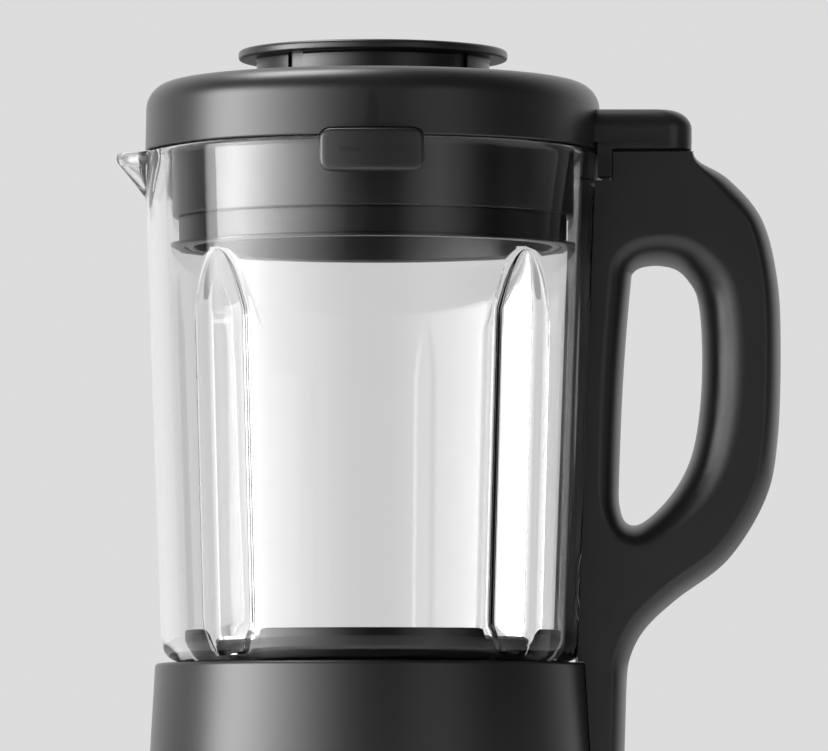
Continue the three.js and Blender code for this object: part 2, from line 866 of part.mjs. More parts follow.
function reedSwitch() {
  const top = gripOuterShares[0][1] * glassHeight - handleWall - fitGap;
  return block(
    [sensingColumn - switchLength / 2, sensingColumn + switchLength / 2],
    [-switchWidth / 2, switchWidth / 2],
    [top - switchHeight, top],
  );
}

// Heater bowl and its seal; heights are from the collar top
function bowlLowerSurface() {
  return [
    [housingRadius + fitGap, -bowlFloorLevel - bowlThickness],
    [bowlFlatRadius, -bowlFloorLevel - bowlThickness],
    [bowlFloorRadius + bowlThickness / 2, -bowlEdgeLevel - bowlThickness],
    [bowlWallRadius + bowlThickness, -bowlWallLevel - bowlThickness / 2],
    [bowlMouthRadius - bowlThickness, bowlFlangeLevel],
    [bowlFlangeRadius, bowlFlangeLevel],
  ];
}

function heaterBowl() {
  return turned([
    ...bowlLowerSurface(),
    [bowlFlangeRadius, bowlFlangeLevel + bowlThickness],
    [bowlMouthRadius, bowlFlangeLevel + bowlThickness],
    [bowlMouthRadius - 2 * bowlThickness, bowlFlangeLevel - bowlThickness],
    [bowlWallRadius, -bowlWallLevel],
    [bowlFloorRadius, -bowlEdgeLevel],
    [bowlFlatRadius, -bowlFloorLevel],
    [housingRadius + fitGap, -bowlFloorLevel],
  ], wideFacets);
}

function bowlSeal() {
  const bottom = glassFloor + seatGap;
  const ledge = bowlFlangeLevel - seatGap;
  return turned([
    [sealInnerRadius, bottom],
    [sealRadius - glassInnerCorner, bottom],
    [sealRadius, bottom + glassInnerCorner],
    [sealRadius, sealTop],
    [bowlFlangeRadius + fitGap, sealTop],
    [bowlFlangeRadius + fitGap, ledge],
    [sealInnerRadius, ledge],
  ]);
}

function elementFoot() {
  // the bowl's floor rises outwards, so the tube lies under the lowest floor that it meets
  const [, flatEdge, floorEdge] = bowlLowerSurface();
  const slope = (floorEdge[1] - flatEdge[1]) / (floorEdge[0] - flatEdge[0]);
  const under = flatEdge[1] + slope * (elementRing - elementRadius - flatEdge[0]);
  return under - fitGap - 2 * elementRadius;
}

function heatingElement() {
  const middle = elementFoot() + elementRadius;
  const terminalLength = terminalShare * (elementFoot() - basePlateTop);
  const points = arc(0, 0, elementRing, -elementTurn / 2, elementTurn / 2, elementSteps);
  const path = new THREE.CatmullRomCurve3(points.map(([x, y]) => new THREE.Vector3(x, y, middle)));
  const section = outline(arc(0, 0, elementRadius, 0, 315, 7));
  const tube = new THREE.ExtrudeGeometry(section, { steps: elementSteps, extrudePath: path });
  const terminals = [points[1], points[elementSteps - 1]].map(([x, y]) =>
    disc(terminalRadius, middle - elementRadius - terminalLength, middle, tinyFacets).translate(x, y, 0),
  );
  return join(tube, ...terminals).rotateZ(Math.PI);
}

function temperatureSensor() {
  const top = -bowlFloorLevel - bowlThickness - fitGap;
  return disc(sensorRadius, top - sensorHeight, top, smallFacets).translate(0, -sensorRing, 0);
}

// Bearing housing with its bearings, seal and nut
function bearingHousing() {
  const flangeFace = -bowlFloorLevel + seatGap;
  const webFace = housingTop - housingWeb;
  return turned([
    [bearingRadius + fitGap, housingFoot],
    [housingRadius, housingFoot],
    [housingRadius, flangeFace],
    [nutRadius, flangeFace],
    [housingRadius, housingTop],
    [shaftSealRadius + fitGap, housingTop],
    [shaftSealRadius + fitGap, webFace],
    [bearingRadius + fitGap, webFace],
  ], midFacets);
}

function bearing(top) {
  return ring(shaftRadius + seatGap, bearingRadius, top - bearingHeight, top, smallFacets);
}

function housingNut() {
  const top = -bowlFloorLevel - bowlThickness - seatGap;
  const hexagon = disc(nutRadius, top - nutHeight, top, hexFacets);
  return cut(hexagon, disc(housingRadius + fitGap, top - nutHeight - overrun, top + overrun, midFacets));
}

function shaftSeal() {
  return ring(shaftRadius + seatGap, shaftSealRadius, housingTop - housingWeb + seatGap, housingTop, smallFacets);
}

// Collar; heights are from the collar top
function jugCollar() {
  const bore = glassNeckRadius + fitGap;
  const plateUnder = -collarWall;
  const rounded = arc(collarTopRadius - collarTopRound, -collarTopRound, collarTopRound, 0, 90, 1);
  const shell = turned([
    [collarFootRadius - collarWall, -collarHeight],
    [collarFootRadius, -collarHeight],
    ...rounded,
    [bore, 0],
    [bore, plateUnder],
    [collarTopRadius - collarWall, plateUnder],
  ]);
  const pillars = collarScrewPlaces().map(([x, y]) => {
    const foot = basePlateTop + seatGap;
    const pillar = disc(collarPillarRadius, foot, plateUnder / 2, smallFacets);
    const hole = disc(collarScrewRadius + fitGap / 2, foot - overrun, foot + collarScrewLength, tinyFacets);
    return cut(pillar, hole).translate(x, y, 0);
  });
  return join(shell, ...pillars);
}

function collarScrewPlaces() {
  return [[0, -collarPillarRing], [0, collarPillarRing]];
}

function collarBasePlate() {
  const low = -collarHeight + basePlateLevel;
  const high = low + basePlateThickness;
  const radius = collarRadiusAt(basePlateLevel + basePlateThickness) - collarWall - fitGap - collarTopRound / 2;
  const windowHalf = connectorWindowLength / 2;
  const window = block(
    [connectorColumn - connectorWindowWidth / 2, connectorColumn + connectorWindowWidth / 2],
    [-windowHalf, windowHalf],
    [low - overrun, high + overrun],
  );
  const screwHoles = collarScrewPlaces().map(([x, y]) =>
    disc(collarScrewRadius + fitGap, low - overrun, high + overrun, tinyFacets).translate(x, y, 0),
  );
  return cut(ring(basePlateBore, radius, low, high, wideFacets), window, ...screwHoles);
}

function collarScrew([x, y]) {
  const seat = -collarHeight + basePlateLevel - seatGap;
  const shank = disc(collarScrewRadius, seat - seatGap, seat + collarScrewLength, tinyFacets);
  const head = disc(collarScrewHeadRadius, seat - collarScrewHeadHeight, seat, smallFacets);
  return join(shank, head).translate(x, y, 0);
}

function prongPlaces() {
  const places = [];
  for (let i = 0; i < prongCount; i++) places.push((i - (prongCount - 1) / 2) * prongPitch);
  return places;
}

function connectorTop() {
  return basePlateTop + connectorShare * (elementFoot() - basePlateTop);
}

function prong(y, low, high, grow) {
  return block(
    [connectorColumn - prongWidth / 2 - grow, connectorColumn + prongWidth / 2 + grow],
    [y - prongLength / 2 - grow, y + prongLength / 2 + grow],
    [low, high],
  );
}

function connectorBlock(length, width, low, high) {
  return block(
    [connectorColumn - width / 2, connectorColumn + width / 2],
    [-length / 2, length / 2],
    [low, high],
  );
}

function jugConnector() {
  const low = basePlateTop + seatGap;
  const high = connectorTop();
  const sockets = prongPlaces().map((y) => prong(y, low - overrun, high - connectorRoof, prongGap));
  return cut(connectorBlock(connectorLength, connectorWidth, low, high), ...sockets);
}

// Blade set; heights are from the collar top
const shoulderFoot = housingTop + seatGap;
const lowerBladeSeat = shoulderFoot + shaftShoulderHeight + seatGap;
const upperBladeSeat = lowerBladeSeat + bladeThickness + seatGap;
const bladeNutSeat = upperBladeSeat + bladeThickness + seatGap;

function bladeShaft() {
  const top = bladeNutSeat + bladeNutHeight;
  const foot = drivenFoot + shaftRecess;
  return turned([
    [0, foot],
    [shaftRadius, foot],
    [shaftRadius, shoulderFoot],
    [shaftShoulderRadius, shoulderFoot],
    [shaftShoulderRadius, shoulderFoot + shaftShoulderHeight],
    [shaftRadius, shoulderFoot + shaftShoulderHeight],
    [shaftRadius, top],
    [0, top],
  ], smallFacets);
}

function blade(seat, reach, rise, turnDegrees) {
  // two arms bent up from a flat hub, seen from the side, then trimmed to a point in plan
  const low = seat;
  const high = seat + bladeThickness;
  const side = outline([
    [-bladeHubHalf, low],
    [bladeHubHalf, low],
    [reach, low + rise],
    [reach - bladeThickness / 2, high + rise],
    [bladeHubHalf - bladeThickness / 2, high],
    [bladeThickness / 2 - bladeHubHalf, high],
    [bladeThickness / 2 - reach, high + rise],
    [-reach, low + rise],
  ]);
  const strip = sideSlab(side, -bladeHalfWidth, bladeHalfWidth);
  const tip = bladeHalfWidth / 3;
  const plan = outline([
    [-reach, -bladeHalfWidth],
    [-reach, tip - bladeHalfWidth],
    [-bladeHubHalf, bladeHalfWidth],
    [bladeHubHalf, bladeHalfWidth],
    [reach, bladeHalfWidth],
    [reach, bladeHalfWidth - tip],
    [bladeHubHalf, -bladeHalfWidth],
    [-bladeHubHalf, -bladeHalfWidth],
  ]);
  const trimmed = common(strip, slab(plan, low - overrun, high + rise + overrun));
  const hole = disc(shaftRadius + seatGap, low - overrun, high + overrun, smallFacets);
  return cut(trimmed, hole).rotateZ(THREE.MathUtils.degToRad(turnDegrees));
}

function bladeNut() {
  const high = bladeNutSeat + bladeNutHeight;
  const hexagon = disc(bladeNutRadius, bladeNutSeat, high, hexFacets);
  return cut(hexagon, disc(shaftRadius + seatGap, bladeNutSeat - overrun, high + overrun, smallFacets));
}

// Lobed outline that both halves of the coupling share
function lobedOutline(grow) {
  const points = [];
  const perLobe = 4;
  for (let i = 0; i < lobeCount * perLobe; i++) {
    const angle = (2 * Math.PI * i) / (lobeCount * perLobe);
    const standing = i % perLobe < perLobe / 2 ? drivenLobe / 2 : -drivenLobe / 2;
    const radius = drivenRadius - drivenLobe / 2 + standing + grow;
    points.push([radius * Math.cos(angle), radius * Math.sin(angle)]);
  }
  return outline(points);
}

function drivenCoupling() {
  const body = slab(lobedOutline(0), drivenFoot, drivenTop);
  const bore = disc(shaftRadius + seatGap, drivenFoot + shaftRecess - seatGap, drivenTop + overrun, smallFacets);
  return cut(body, bore);
}

// Lid; heights are from the glass rim
function lidShell() {
  const cornerCentre = lidTopRadius - lidCorner;
  const cornerLevel = lidHeight - lidCorner;
  return turned([
    [lidSkirtRadius - lidWall, 0],
    [lidSkirtRadius, 0],
    ...arc(cornerCentre, cornerLevel, lidCorner, 0, 90, 4),
    [throatRadius, lidHeight],
    [throatRadius, lidHeight - lidWall],
    ...arc(cornerCentre, cornerLevel, lidCorner - lidWall, 90, 0, 2),
  ]);
}

function armPlan(inset) {
  const half = armHalfWidth - inset;
  return roundedRectangle(0, armReach - inset, -half, half, armPlanCorner - inset);
}

function lidArm() {
  const low = armPlateThickness + seatGap;
  const inner = lidSkirtRadius - lidWall - overrun;
  const side = outline([
    [inner, low],
    [armReach, low],
    ...arc(armReach - armCorner, armTop - armCorner, armCorner, 0, 90, 4),
    [inner, armTop],
  ]);
  const outside = common(
    softSideSlab(side, armHalfWidth, armEdge, 1),
    slab(armPlan(0), low - overrun, armTop + overrun),
  );
  const pocket = block(
    [lidSkirtRadius + lidWall / 2, armReach - lidWall],
    [lidWall - armHalfWidth, armHalfWidth - lidWall],
    [low - overrun, armTop - lidWall],
  );
  return cut(outside, disc(lidSkirtRadius - lidWall / 2, low - overrun, armTop + overrun, wideFacets), pocket);
}

function latchEars() {
  const hole = disc(pinRadius + fitGap / 2, -latchHalfWidth, latchHalfWidth, tinyFacets)
    .rotateY(Math.PI / 2)
    .translate(0, -hingeRing, hingeLevel);
  return [-1, 1].map((side) => {
    const near = side * (leverHalfWidth + 2 * fitGap);
    const far = side * (leverHalfWidth + 2 * fitGap + earThickness);
    const ear = block(
      side < 0 ? [far, near] : [near, far],
      [-lidSkirtRadius + lidWall / 2, -hingeRing + knuckleRadius],
      [latchTop + latchNotchGap, lidHeight - lidCorner],
    );
    return cut(ear, hole);
  });
}

function latchNotches() {
  const tabHalf = latchHalfWidth + latchSideGap;
  const notchTop = latchTop + latchNotchGap;
  const slot = sideSlab(
    roundedRectangle(-tabHalf, tabHalf, -latchDrop, notchTop, latchCorner),
    -lidSkirtRadius - overrun,
    -lidSkirtRadius + lidWall + overrun,
  );
  const leverHalf = leverHalfWidth + fitGap;
  const relief = block(
    [-leverHalf, leverHalf],
    [lidWall / 2 - lidSkirtRadius, -plugRadius],
    [-overrun, reliefTop],
  );
  return [slot, relief];
}

function frontAndBack(geometries) {
  return geometries.flatMap((geometry) => [geometry, geometry.clone().rotateZ(Math.PI)]);
}

function lidCover() {
  const whole = join(lidShell(), lidArm(), ...frontAndBack(latchEars()));
  return cut(whole, ...frontAndBack(latchNotches()));
}

function tongueInnerRadius() {
  return glassRimRadius + tongueGap;
}

function tongueOuterRadius() {
  return tongueInnerRadius() + tongueThickness;
}

function lidArmPlate() {
  const half = armHalfWidth - armEdge;
  const plate = cut(
    slab(armPlan(armEdge), 0, armPlateThickness),
    disc(tongueInnerRadius(), -overrun, armPlateThickness + overrun, wideFacets),
  );
  const tongueRing = ring(tongueInnerRadius(), tongueOuterRadius(), -tongueDrop, armPlateThickness, wideFacets);
  const sector = block([0, armReach], [-half, half], [-tongueDrop - overrun, armPlateThickness + overrun]);
  return join(plate, common(tongueRing, sector));
}

function lidMagnet() {
  const low = armPlateThickness + seatGap;
  return block(
    [sensingColumn - magnetLength / 2, sensingColumn + magnetLength / 2],
    [-magnetWidth / 2, magnetWidth / 2],
    [low, low + magnetHeight],
  );
}

function lidPlug() {
  const top = lidHeight - lidWall - seatGap;
  const floor = plugWall - plugDepth;
  const shoulderInside = plugWall - plugShoulder;
  const ledge = lidHeight - throatLedgeDepth;
  return turned([
    [throatRadius - throatLedge, -plugDepth],
    [plugSpigotRadius, -plugDepth],
    [plugSpigotRadius, -plugShoulder],
    [plugRadius, -plugShoulder],
    [plugRadius, top - plugWall],
    [plugRadius - plugWall, top],
    [plugRadius - 2 * plugWall, top],
    [plugRadius - 2 * plugWall, shoulderInside],
    [plugSpigotRadius - plugWall, shoulderInside],
    [plugSpigotRadius - plugWall, floor],
    [throatRadius + plugWall, floor],
    [throatRadius + plugWall, top],
    [throatRadius, top],
    [throatRadius, ledge],
    [throatRadius - throatLedge, ledge],
  ]);
}

function lidSeal() {
  const inner = plugSpigotRadius + fitGap;
  const outer = inner + lidSealWall;
  const lip = plugRadius + lidSealReach;
  const low = -plugDepth - seatGap;
  return turned([
    [inner, low],
    [lip, low],
    [lip, low + lidSealLip],
    [outer, low + lidSealLip + seatGap],
    [outer, -plugShoulder - seatGap],
    [inner, -plugShoulder - seatGap],
  ]);
}

// Front latch; the back latch is the same piece turned half round
function latch() {
  const inner = glassRimRadius + latchGap;
  const tab = common(
    ring(inner, latchRadius, -latchDrop, latchTop, wideFacets * 2),
    sideSlab(
      roundedRectangle(-latchHalfWidth, latchHalfWidth, -latchDrop, latchTop, latchCorner),
      -latchRadius - overrun,
      0,
    ),
  );
  const lever = block(
    [-leverHalfWidth, leverHalfWidth],
    [-inner - latchGap, -hingeRing + knuckleRadius],
    [leverBottom, leverTop],
  );
  const post = block(
    [-leverHalfWidth, leverHalfWidth],
    [-hingeRing - knuckleRadius, -hingeRing + knuckleRadius],
    [leverBottom, hingeLevel],
  );
  const alongX = (radius, half) =>
    disc(radius, -half, half, smallFacets).rotateY(Math.PI / 2).translate(0, -hingeRing, hingeLevel);
  const knuckle = alongX(knuckleRadius, leverHalfWidth);
  return cut(join(tab, lever, post, knuckle), alongX(pinRadius + fitGap / 2, leverHalfWidth + overrun));
}

function latchPin() {
  const half = leverHalfWidth + earThickness;
  return disc(pinRadius, -half, half, tinyFacets).rotateY(Math.PI / 2).translate(0, -hingeRing, hingeLevel);
}

// Vent cap; heights are from the lid top
const baffleSeat = -throatLedgeDepth + seatGap;
const neckFoot = baffleSeat + baffleThickness + seatGap;

function ventCap() {
  const flangeLow = capRise - capFlangeThickness;
  const inner = capNeckRadius - capNeckWall;
  const groove = capNeckRadius - ringGrooveDepth;
  const rounded = capFlangeRadius - capRound;
  const cap = turned([
    [inner, neckFoot],
    [capNeckRadius, neckFoot],
    [capNeckRadius, -ringGrooveLevel],
    [groove, -ringGrooveLevel],
    [groove, ringGrooveHeight - ringGrooveLevel],
    [capNeckRadius, ringGrooveHeight - ringGrooveLevel],
    [capNeckRadius, flangeLow],
    [rounded, flangeLow],
    [capFlangeRadius, flangeLow + capRound / 2],
    [capFlangeRadius, capRise - capRound],
    [rounded, capRise],
    [0, capRise],
    [0, capRise - capNeckWall],
    [inner, capRise - capNeckWall],
  ]);
  const slot = block(
    [inner - overrun, capNeckRadius + overrun],
    [-ventWidth / 2, ventWidth / 2],
    [ventLow, ventHigh],
  );
  return cut(cap, ...quarterTurns(slot, ventCount, ventTurn));
}

function capSealRing() {
  const low = seatGap - ringGrooveLevel;
  const high = ringGrooveHeight - ringGrooveLevel - seatGap;
  const inner = capNeckRadius - ringGrooveDepth + seatGap;
  return ring(inner, throatRadius - ringThroatGap, low, high, wideFacets);
}

function capBaffle() {
  const top = baffleSeat + baffleThickness;
  const spigot = capNeckRadius - capNeckWall - fitGap;
  const plate = disc(capNeckRadius, baffleSeat, top, midFacets);
  const collar = ring(spigot - capRound, spigot, baffleSeat, top + baffleSpigotRise, midFacets);
  const hole = disc(baffleHoleRadius, baffleSeat - overrun, top + overrun, tinyFacets)
    .translate(baffleHoleRing, 0, 0);
  return cut(join(plate, collar), ...quarterTurns(hole, baffleHoleCount));
}

// Motor base; heights are from its underside
function baseShell() {
  const turretUnder = turretTop - baseWall;
  const corner = baseDeckRadius - deckRound;
  const bore = rotorShaftRadius + 2 * fitGap;
  const shell = turned([
    [baseFootRadius - baseWall, 0],
    [baseFootRadius, 0],
    ...arc(corner, baseHeight - deckRound, deckRound, 0, 90, 2),
    [turretRadius, baseHeight],
    [turretRadius, turretTop - turretChamfer],
    [turretRadius - turretChamfer, turretTop],
    [wellRadius, turretTop],
    [wellRadius, wellFloor],
    [bore, wellFloor],
    [bore, wellFloor - baseWall],
    [wellRadius + baseWall, wellFloor - baseWall],
    [wellRadius + baseWall, turretUnder],
    [turretRadius - baseWall, turretUnder],
    [turretRadius - baseWall, deckUnder],
    [baseDeckRadius - baseWall - fitGap, deckUnder],
  ]);
  const connectorHole = connectorBlock(
    connectorWindowLength + fitGap * 2,
    connectorWindowWidth + fitGap * 2,
    turretUnder - overrun,
    turretTop + overrun,
  );
  return cut(shell, panelOpening(), inletOpening(), connectorHole);
}

function panelOutline(grow) {
  const half = panelHalfWidth + grow;
  return roundedRectangle(-half, half, panelBottom - grow, panelTop + grow, panelCorner + grow);
}

function panelOpening() {
  return sideSlab(panelOutline(panelGap), -baseFootRadius - overrun, overrun - controlBoardPlane);
}

// A conical ring that follows the outside of the base, from one depth under it to another
function baseSkin(proud, thickness) {
  const low = panelBottom - overrun;
  const high = panelTop + overrun;
  return turned([
    [baseRadiusAt(low) + proud - thickness, low],
    [baseRadiusAt(low) + proud, low],
    [baseRadiusAt(high) + proud, high],
    [baseRadiusAt(high) + proud - thickness, high],
  ]);
}

function frontRod(radius, from, to, x, z, facets = smallFacets) {
  return rod(radius, -to, -from, facets).translate(x, 0, z);
}

function controlPosts() {
  const inset = panelCorner;
  const xs = [inset - controlBoardHalfWidth, controlBoardHalfWidth - inset];
  const zs = [panelBottom + inset, panelTop - inset];
  return xs.flatMap((x) => zs.map((z) => [x, z]));
}

function windowOutline(grow) {
  const half = windowHalfWidth + grow;
  const low = windowLevel - windowHalfHeight - grow;
  const high = windowLevel + windowHalfHeight + grow;
  return roundedRectangle(-half, half, low, high, windowCorner);
}

function controlPanel() {
  const face = baseRadiusAt(panelBottom) + panelProud;
  const skin = common(
    baseSkin(panelProud, panelThickness),
    sideSlab(panelOutline(0), -face - overrun, 0),
  );
  const posts = controlPosts().map(([x, z]) => {
    const behind = Math.sqrt((baseRadiusAt(z) + panelProud - panelThickness / 2) ** 2 - x * x);
    return frontRod(controlPostRadius, controlBoardPlane + seatGap, behind, x, z, tinyFacets);
  });
  const far = face + overrun;
  const holes = [
    sideSlab(windowOutline(fitGap), -far, -controlBoardPlane),
    frontRod(knobStemRadius + fitGap, controlBoardPlane, far, 0, knobLevel),
    ...[-buttonColumn, buttonColumn].map((x) =>
      frontRod(buttonRadius + fitGap, controlBoardPlane, far, x, buttonLevel, smallFacets * 2),
    ),
  ];
  return cut(join(skin, ...posts), ...holes);
}

function displayWindow() {
  const face = baseRadiusAt(windowLevel) + panelProud + overrun;
  return common(baseSkin(panelProud - seatGap, panelThickness - 2 * seatGap), sideSlab(windowOutline(0), -face, 0));
}

function selectorKnob() {
  // the knob's back clears the panel at its lowest, widest point
  const back = baseRadiusAt(knobLevel - knobRadius) + panelProud + knobGap;
  const front = back + knobHeight;
  const body = turned([
    [0, back],
    [knobRadius - knobEdge, back],
    [knobRadius, back + knobEdge],
    [knobRadius, front - knobEdge],
    [knobRadius - knobEdge, front],
    [0, front],
  ], midFacets).rotateX(Math.PI / 2);
  const pointer = block(
    [-pointerWidth / 2, pointerWidth / 2],
    [-front - overrun, pointerDepth - front],
    [knobRadius - pointerLength - knobEdge, knobRadius - knobEdge],
  );
  const stem = frontRod(knobStemRadius, controlBoardPlane + fitGap, back + knobEdge, 0, 0);
  return join(cut(body, pointer), stem).translate(0, 0, knobLevel);
}

function pushButton(x) {
  const surface = Math.sqrt((baseRadiusAt(buttonLevel) + panelProud) ** 2 - x * x);
  const front = surface + buttonProud;
  const cap = frontRod(buttonRadius, front - buttonDepth, front, x, buttonLevel, smallFacets * 2);
  const stem = frontRod(
    buttonStemRadius, controlBoardPlane + buttonTravelRoom, front - buttonDepth / 2, x, buttonLevel, tinyFacets,
  );
  return join(cap, stem);
}

function controlBoard() {
  return block(
    [-controlBoardHalfWidth, controlBoardHalfWidth],
    [-controlBoardPlane, boardThickness - controlBoardPlane],
    [panelBottom, panelTop],
  );
}

function seatRing() {
  const outer = collarFootRadius - seatRingInset;
  const low = baseHeight + seatGap / 2;
  return ring(outer - seatRingWidth, outer, low, low + seatRingRise, wideFacets);
}

function coverRadius() {
  return baseRadiusAt(coverRecess + coverThickness) - baseWall - fitGap;
}

function bottomCover() {
  const top = coverRecess + coverThickness;
  const radius = coverRadius();
  const plateau = coverPlateauShare * radius;
  const plate = turned([
    [0, 0],
    [plateau, 0],
    [plateau + coverRecess, coverRecess],
    [radius, coverRecess],
    [radius, top],
    [0, top],
  ]);
  const slot = block(
    [ventSlotInnerShare * radius, ventSlotOuterShare * radius],
    [-ventSlotWidth / 2, ventSlotWidth / 2],
    [-overrun, top + overrun],
  );
  const posts = powerBoardCorners().map(([x, y]) =>
    disc(powerBoardPostRadius, top - coverThickness / 2, powerBoardLevel - seatGap, tinyFacets).translate(x, y, 0),
  );
  return join(cut(plate, ...quarterTurns(slot, ventSlotCount, 15)), ...posts);
}

function powerBoardCorners() {
  const x = powerBoardLength / 2 - 2 * powerBoardPostRadius;
  const y = powerBoardWidth / 2 - 2 * powerBoardPostRadius;
  return [[-x, -y], [-x, y], [x, -y], [x, y]];
}

function foot(index) {
  const angle = THREE.MathUtils.degToRad(45 + (360 * index) / footCount);
  const puck = turned([
    [0, -footDrop],
    [footRadius - seatGap * 5, -footDrop],
    [footRadius, coverRecess - seatGap],
    [0, coverRecess - seatGap],
  ], smallFacets);
  const distance = footRingShare * coverRadius();
  return puck.translate(distance * Math.cos(angle), distance * Math.sin(angle), 0);
}

// Motor; its brackets hold the stator, and posts hang the upper bracket under the turret
function motorStator() {
  return turned([
    [statorBore, statorBottom],
    [windingInner, statorBottom],
    [windingInner, statorBottom - windingRise],
    [windingOuter, statorBottom - windingRise],
    [windingOuter, statorBottom],
    [statorRadius, statorBottom],
    [statorRadius, statorTop],
    [windingOuter, statorTop],
    [windingOuter, statorTop + windingRise],
    [windingInner, statorTop + windingRise],
    [windingInner, statorTop],
    [statorBore, statorTop],
  ], midFacets);
}

function bracketCup() {
  // a shallow cup, open downwards, whose rim sits on the stator at height zero
  const rimInner = windingOuter + 2 * fitGap;
  return turned([
    [rimInner, 0],
    [statorRadius, 0],
    [statorRadius, bracketHeight],
    [rotorShaftRadius + bracketBoreGap, bracketHeight],
    [rotorShaftRadius + bracketBoreGap, bracketHeight - bracketWall],
    [rimInner, bracketHeight - bracketWall],
  ], midFacets);
}

function upperBracket() {
  const seat = statorTop + seatGap;
  const postTop = turretTop - baseWall - seatGap;
  const post = disc(bracketPostRadius, seat + bracketHeight - bracketWall / 2, postTop, smallFacets)
    .translate(bracketPostRing, 0, 0);
  return join(bracketCup().translate(0, 0, seat), ...quarterTurns(post, bracketPostCount, 45));
}

function lowerBracket() {
  return bracketCup().rotateX(Math.PI).translate(0, 0, statorBottom - seatGap);
}

function motorRotor() {
  const top = wellFloor + seatGap + driveHeight - driveSocketDepth - fitGap;
  return turned([
    [0, fanBottom - rotorTail],
    [rotorShaftRadius, fanBottom - rotorTail],
    [rotorShaftRadius, statorBottom],
    [rotorCoreRadius, statorBottom],
    [rotorCoreRadius, statorTop],
    [rotorShaftRadius, statorTop],
    [rotorShaftRadius, wellFloor],
    [shaftShoulderRadius, wellFloor],
    [shaftShoulderRadius, top],
    [0, top],
  ], midFacets);
}

function coolingFan() {
  const plateTop = fanBottom + fanPlate;
  const top = plateTop + fanBladeHeight;
  const bore = rotorShaftRadius + seatGap;
  const plate = ring(bore, fanRadius, fanBottom, plateTop, midFacets);
  const hub = ring(bore, fanHubRadius, fanBottom, top, midFacets);
  const vane = block(
    [fanHubRadius - fanPlate / 2, fanRadius],
    [-fanBladeThickness / 2, fanBladeThickness / 2],
    [plateTop - fanPlate / 2, top],
  );
  return join(plate, hub, ...quarterTurns(vane, fanBladeCount));
}

function driveCoupling() {
  const low = wellFloor + seatGap;
  const high = low + driveHeight;
  const socket = slab(lobedOutline(couplingGap), high - driveSocketDepth, high + overrun);
  const bore = disc(shaftShoulderRadius + seatGap, low - overrun, high, midFacets);
  return cut(disc(driveRadius, low, high, midFacets), socket, bore);
}

function baseConnector() {
  const flangeLow = turretTop + seatGap;
  const flangeHigh = flangeLow + connectorFlange;
  const stem = connectorBlock(
    connectorWindowLength, connectorWindowWidth, turretTop - connectorStemDepth, flangeHigh,
  );
  const flange = connectorBlock(connectorLength, connectorWidth, flangeLow, flangeHigh);
  const tip = collarTop + connectorTop() - connectorRoof - prongGap;
  const prongs = prongPlaces().map((y) => prong(y, flangeLow, tip, 0));
  return join(flange, stem, ...prongs);
}

// Power board with its larger components
function powerBoard() {
  const low = powerBoardLevel;
  const high = low + boardThickness;
  const board = block(
    [-powerBoardLength / 2, powerBoardLength / 2],
    [-powerBoardWidth / 2, powerBoardWidth / 2],
    [low, high],
  );
  const sunk = high - boardThickness / 2;
  const transformer = block(
    [-transformerLength / 2, transformerLength / 2],
    [-transformerWidth / 2, transformerWidth / 2],
    [sunk, high + transformerHeight],
  );
  const capacitors = [-1, 1].map((side) =>
    disc(capacitorRadius, sunk, high + capacitorHeight, smallFacets)
      .translate(side * (transformerLength + 2 * capacitorRadius), 0, 0),
  );
  return join(board, transformer, ...capacitors);
}

// Mains inlet, a flanged box with three pins in its recess
function inletBlock(halfWidth, halfHeight, from, to) {
  return block([-halfWidth, halfWidth], [from, to], [inletLevel - halfHeight, inletLevel + halfHeight]);
}

function inletOpening() {
  const flangeBack = inletFlangeFace - inletFlangeThickness;
  const body = inletBlock(
    inletHalfWidth + fitGap, inletHalfHeight + fitGap, flangeBack - inletDepth, baseFootRadius + overrun,
  );
  const flange = inletBlock(
    inletHalfWidth + inletFlange + fitGap,
    inletHalfHeight + inletFlange + fitGap,
    flangeBack - fitGap,
    baseFootRadius + overrun,
  );
  return join(body, flange);
}

function inletSocket() {
  const face = inletFlangeFace;
  const flangeBack = face - inletFlangeThickness;
  const flange = inletBlock(inletHalfWidth + inletFlange, inletHalfHeight + inletFlange, flangeBack, face);
  const body = inletBlock(inletHalfWidth, inletHalfHeight, face - inletDepth, face);
  const recess = inletBlock(
    inletRecessHalfWidth, inletRecessHalfHeight, face - inletRecessDepth, face + overrun,
  );
  const floor = face - inletRecessDepth;
  const pins = [-1, 0, 1].map((step) =>
    block(
      [step * inletPinPitch - inletPinWidth / 2, step * inletPinPitch + inletPinWidth / 2],
      [floor - inletPinWidth, floor + inletPinLength],
      [inletLevel - inletPinHeight / 2, inletLevel + inletPinHeight / 2],
    ),
  );
  return join(cut(join(flange, body), recess), ...pins);
}

// The whole machine
function capGroup() {
  return assembly(
    lidTop,
    piece("vent_cap", ventCap(), glossPlastic),
    piece("cap_seal_ring", capSealRing(), darkRubber),
    piece("cap_baffle", capBaffle(), blackPlastic),
  );
}

function lidGroup() {
  return assembly(
    rimLevel,
    piece("lid_cover", lidCover(), glossPlastic),
    piece("lid_arm_plate", lidArmPlate(), blackPlastic),
    piece("lid_magnet", lidMagnet(), magnetGrey),
    piece("lid_plug", lidPlug(), blackPlastic),
    piece("lid_seal", lidSeal(), darkRubber),
    piece("latch_pin_front", latchPin(), turnedSteel),
    piece("latch_pin_back", latchPin().rotateZ(Math.PI), turnedSteel),
    piece("front_latch", latch(), glossPlastic),
    piece("back_latch", latch().rotateZ(Math.PI), glossPlastic),
  );
}

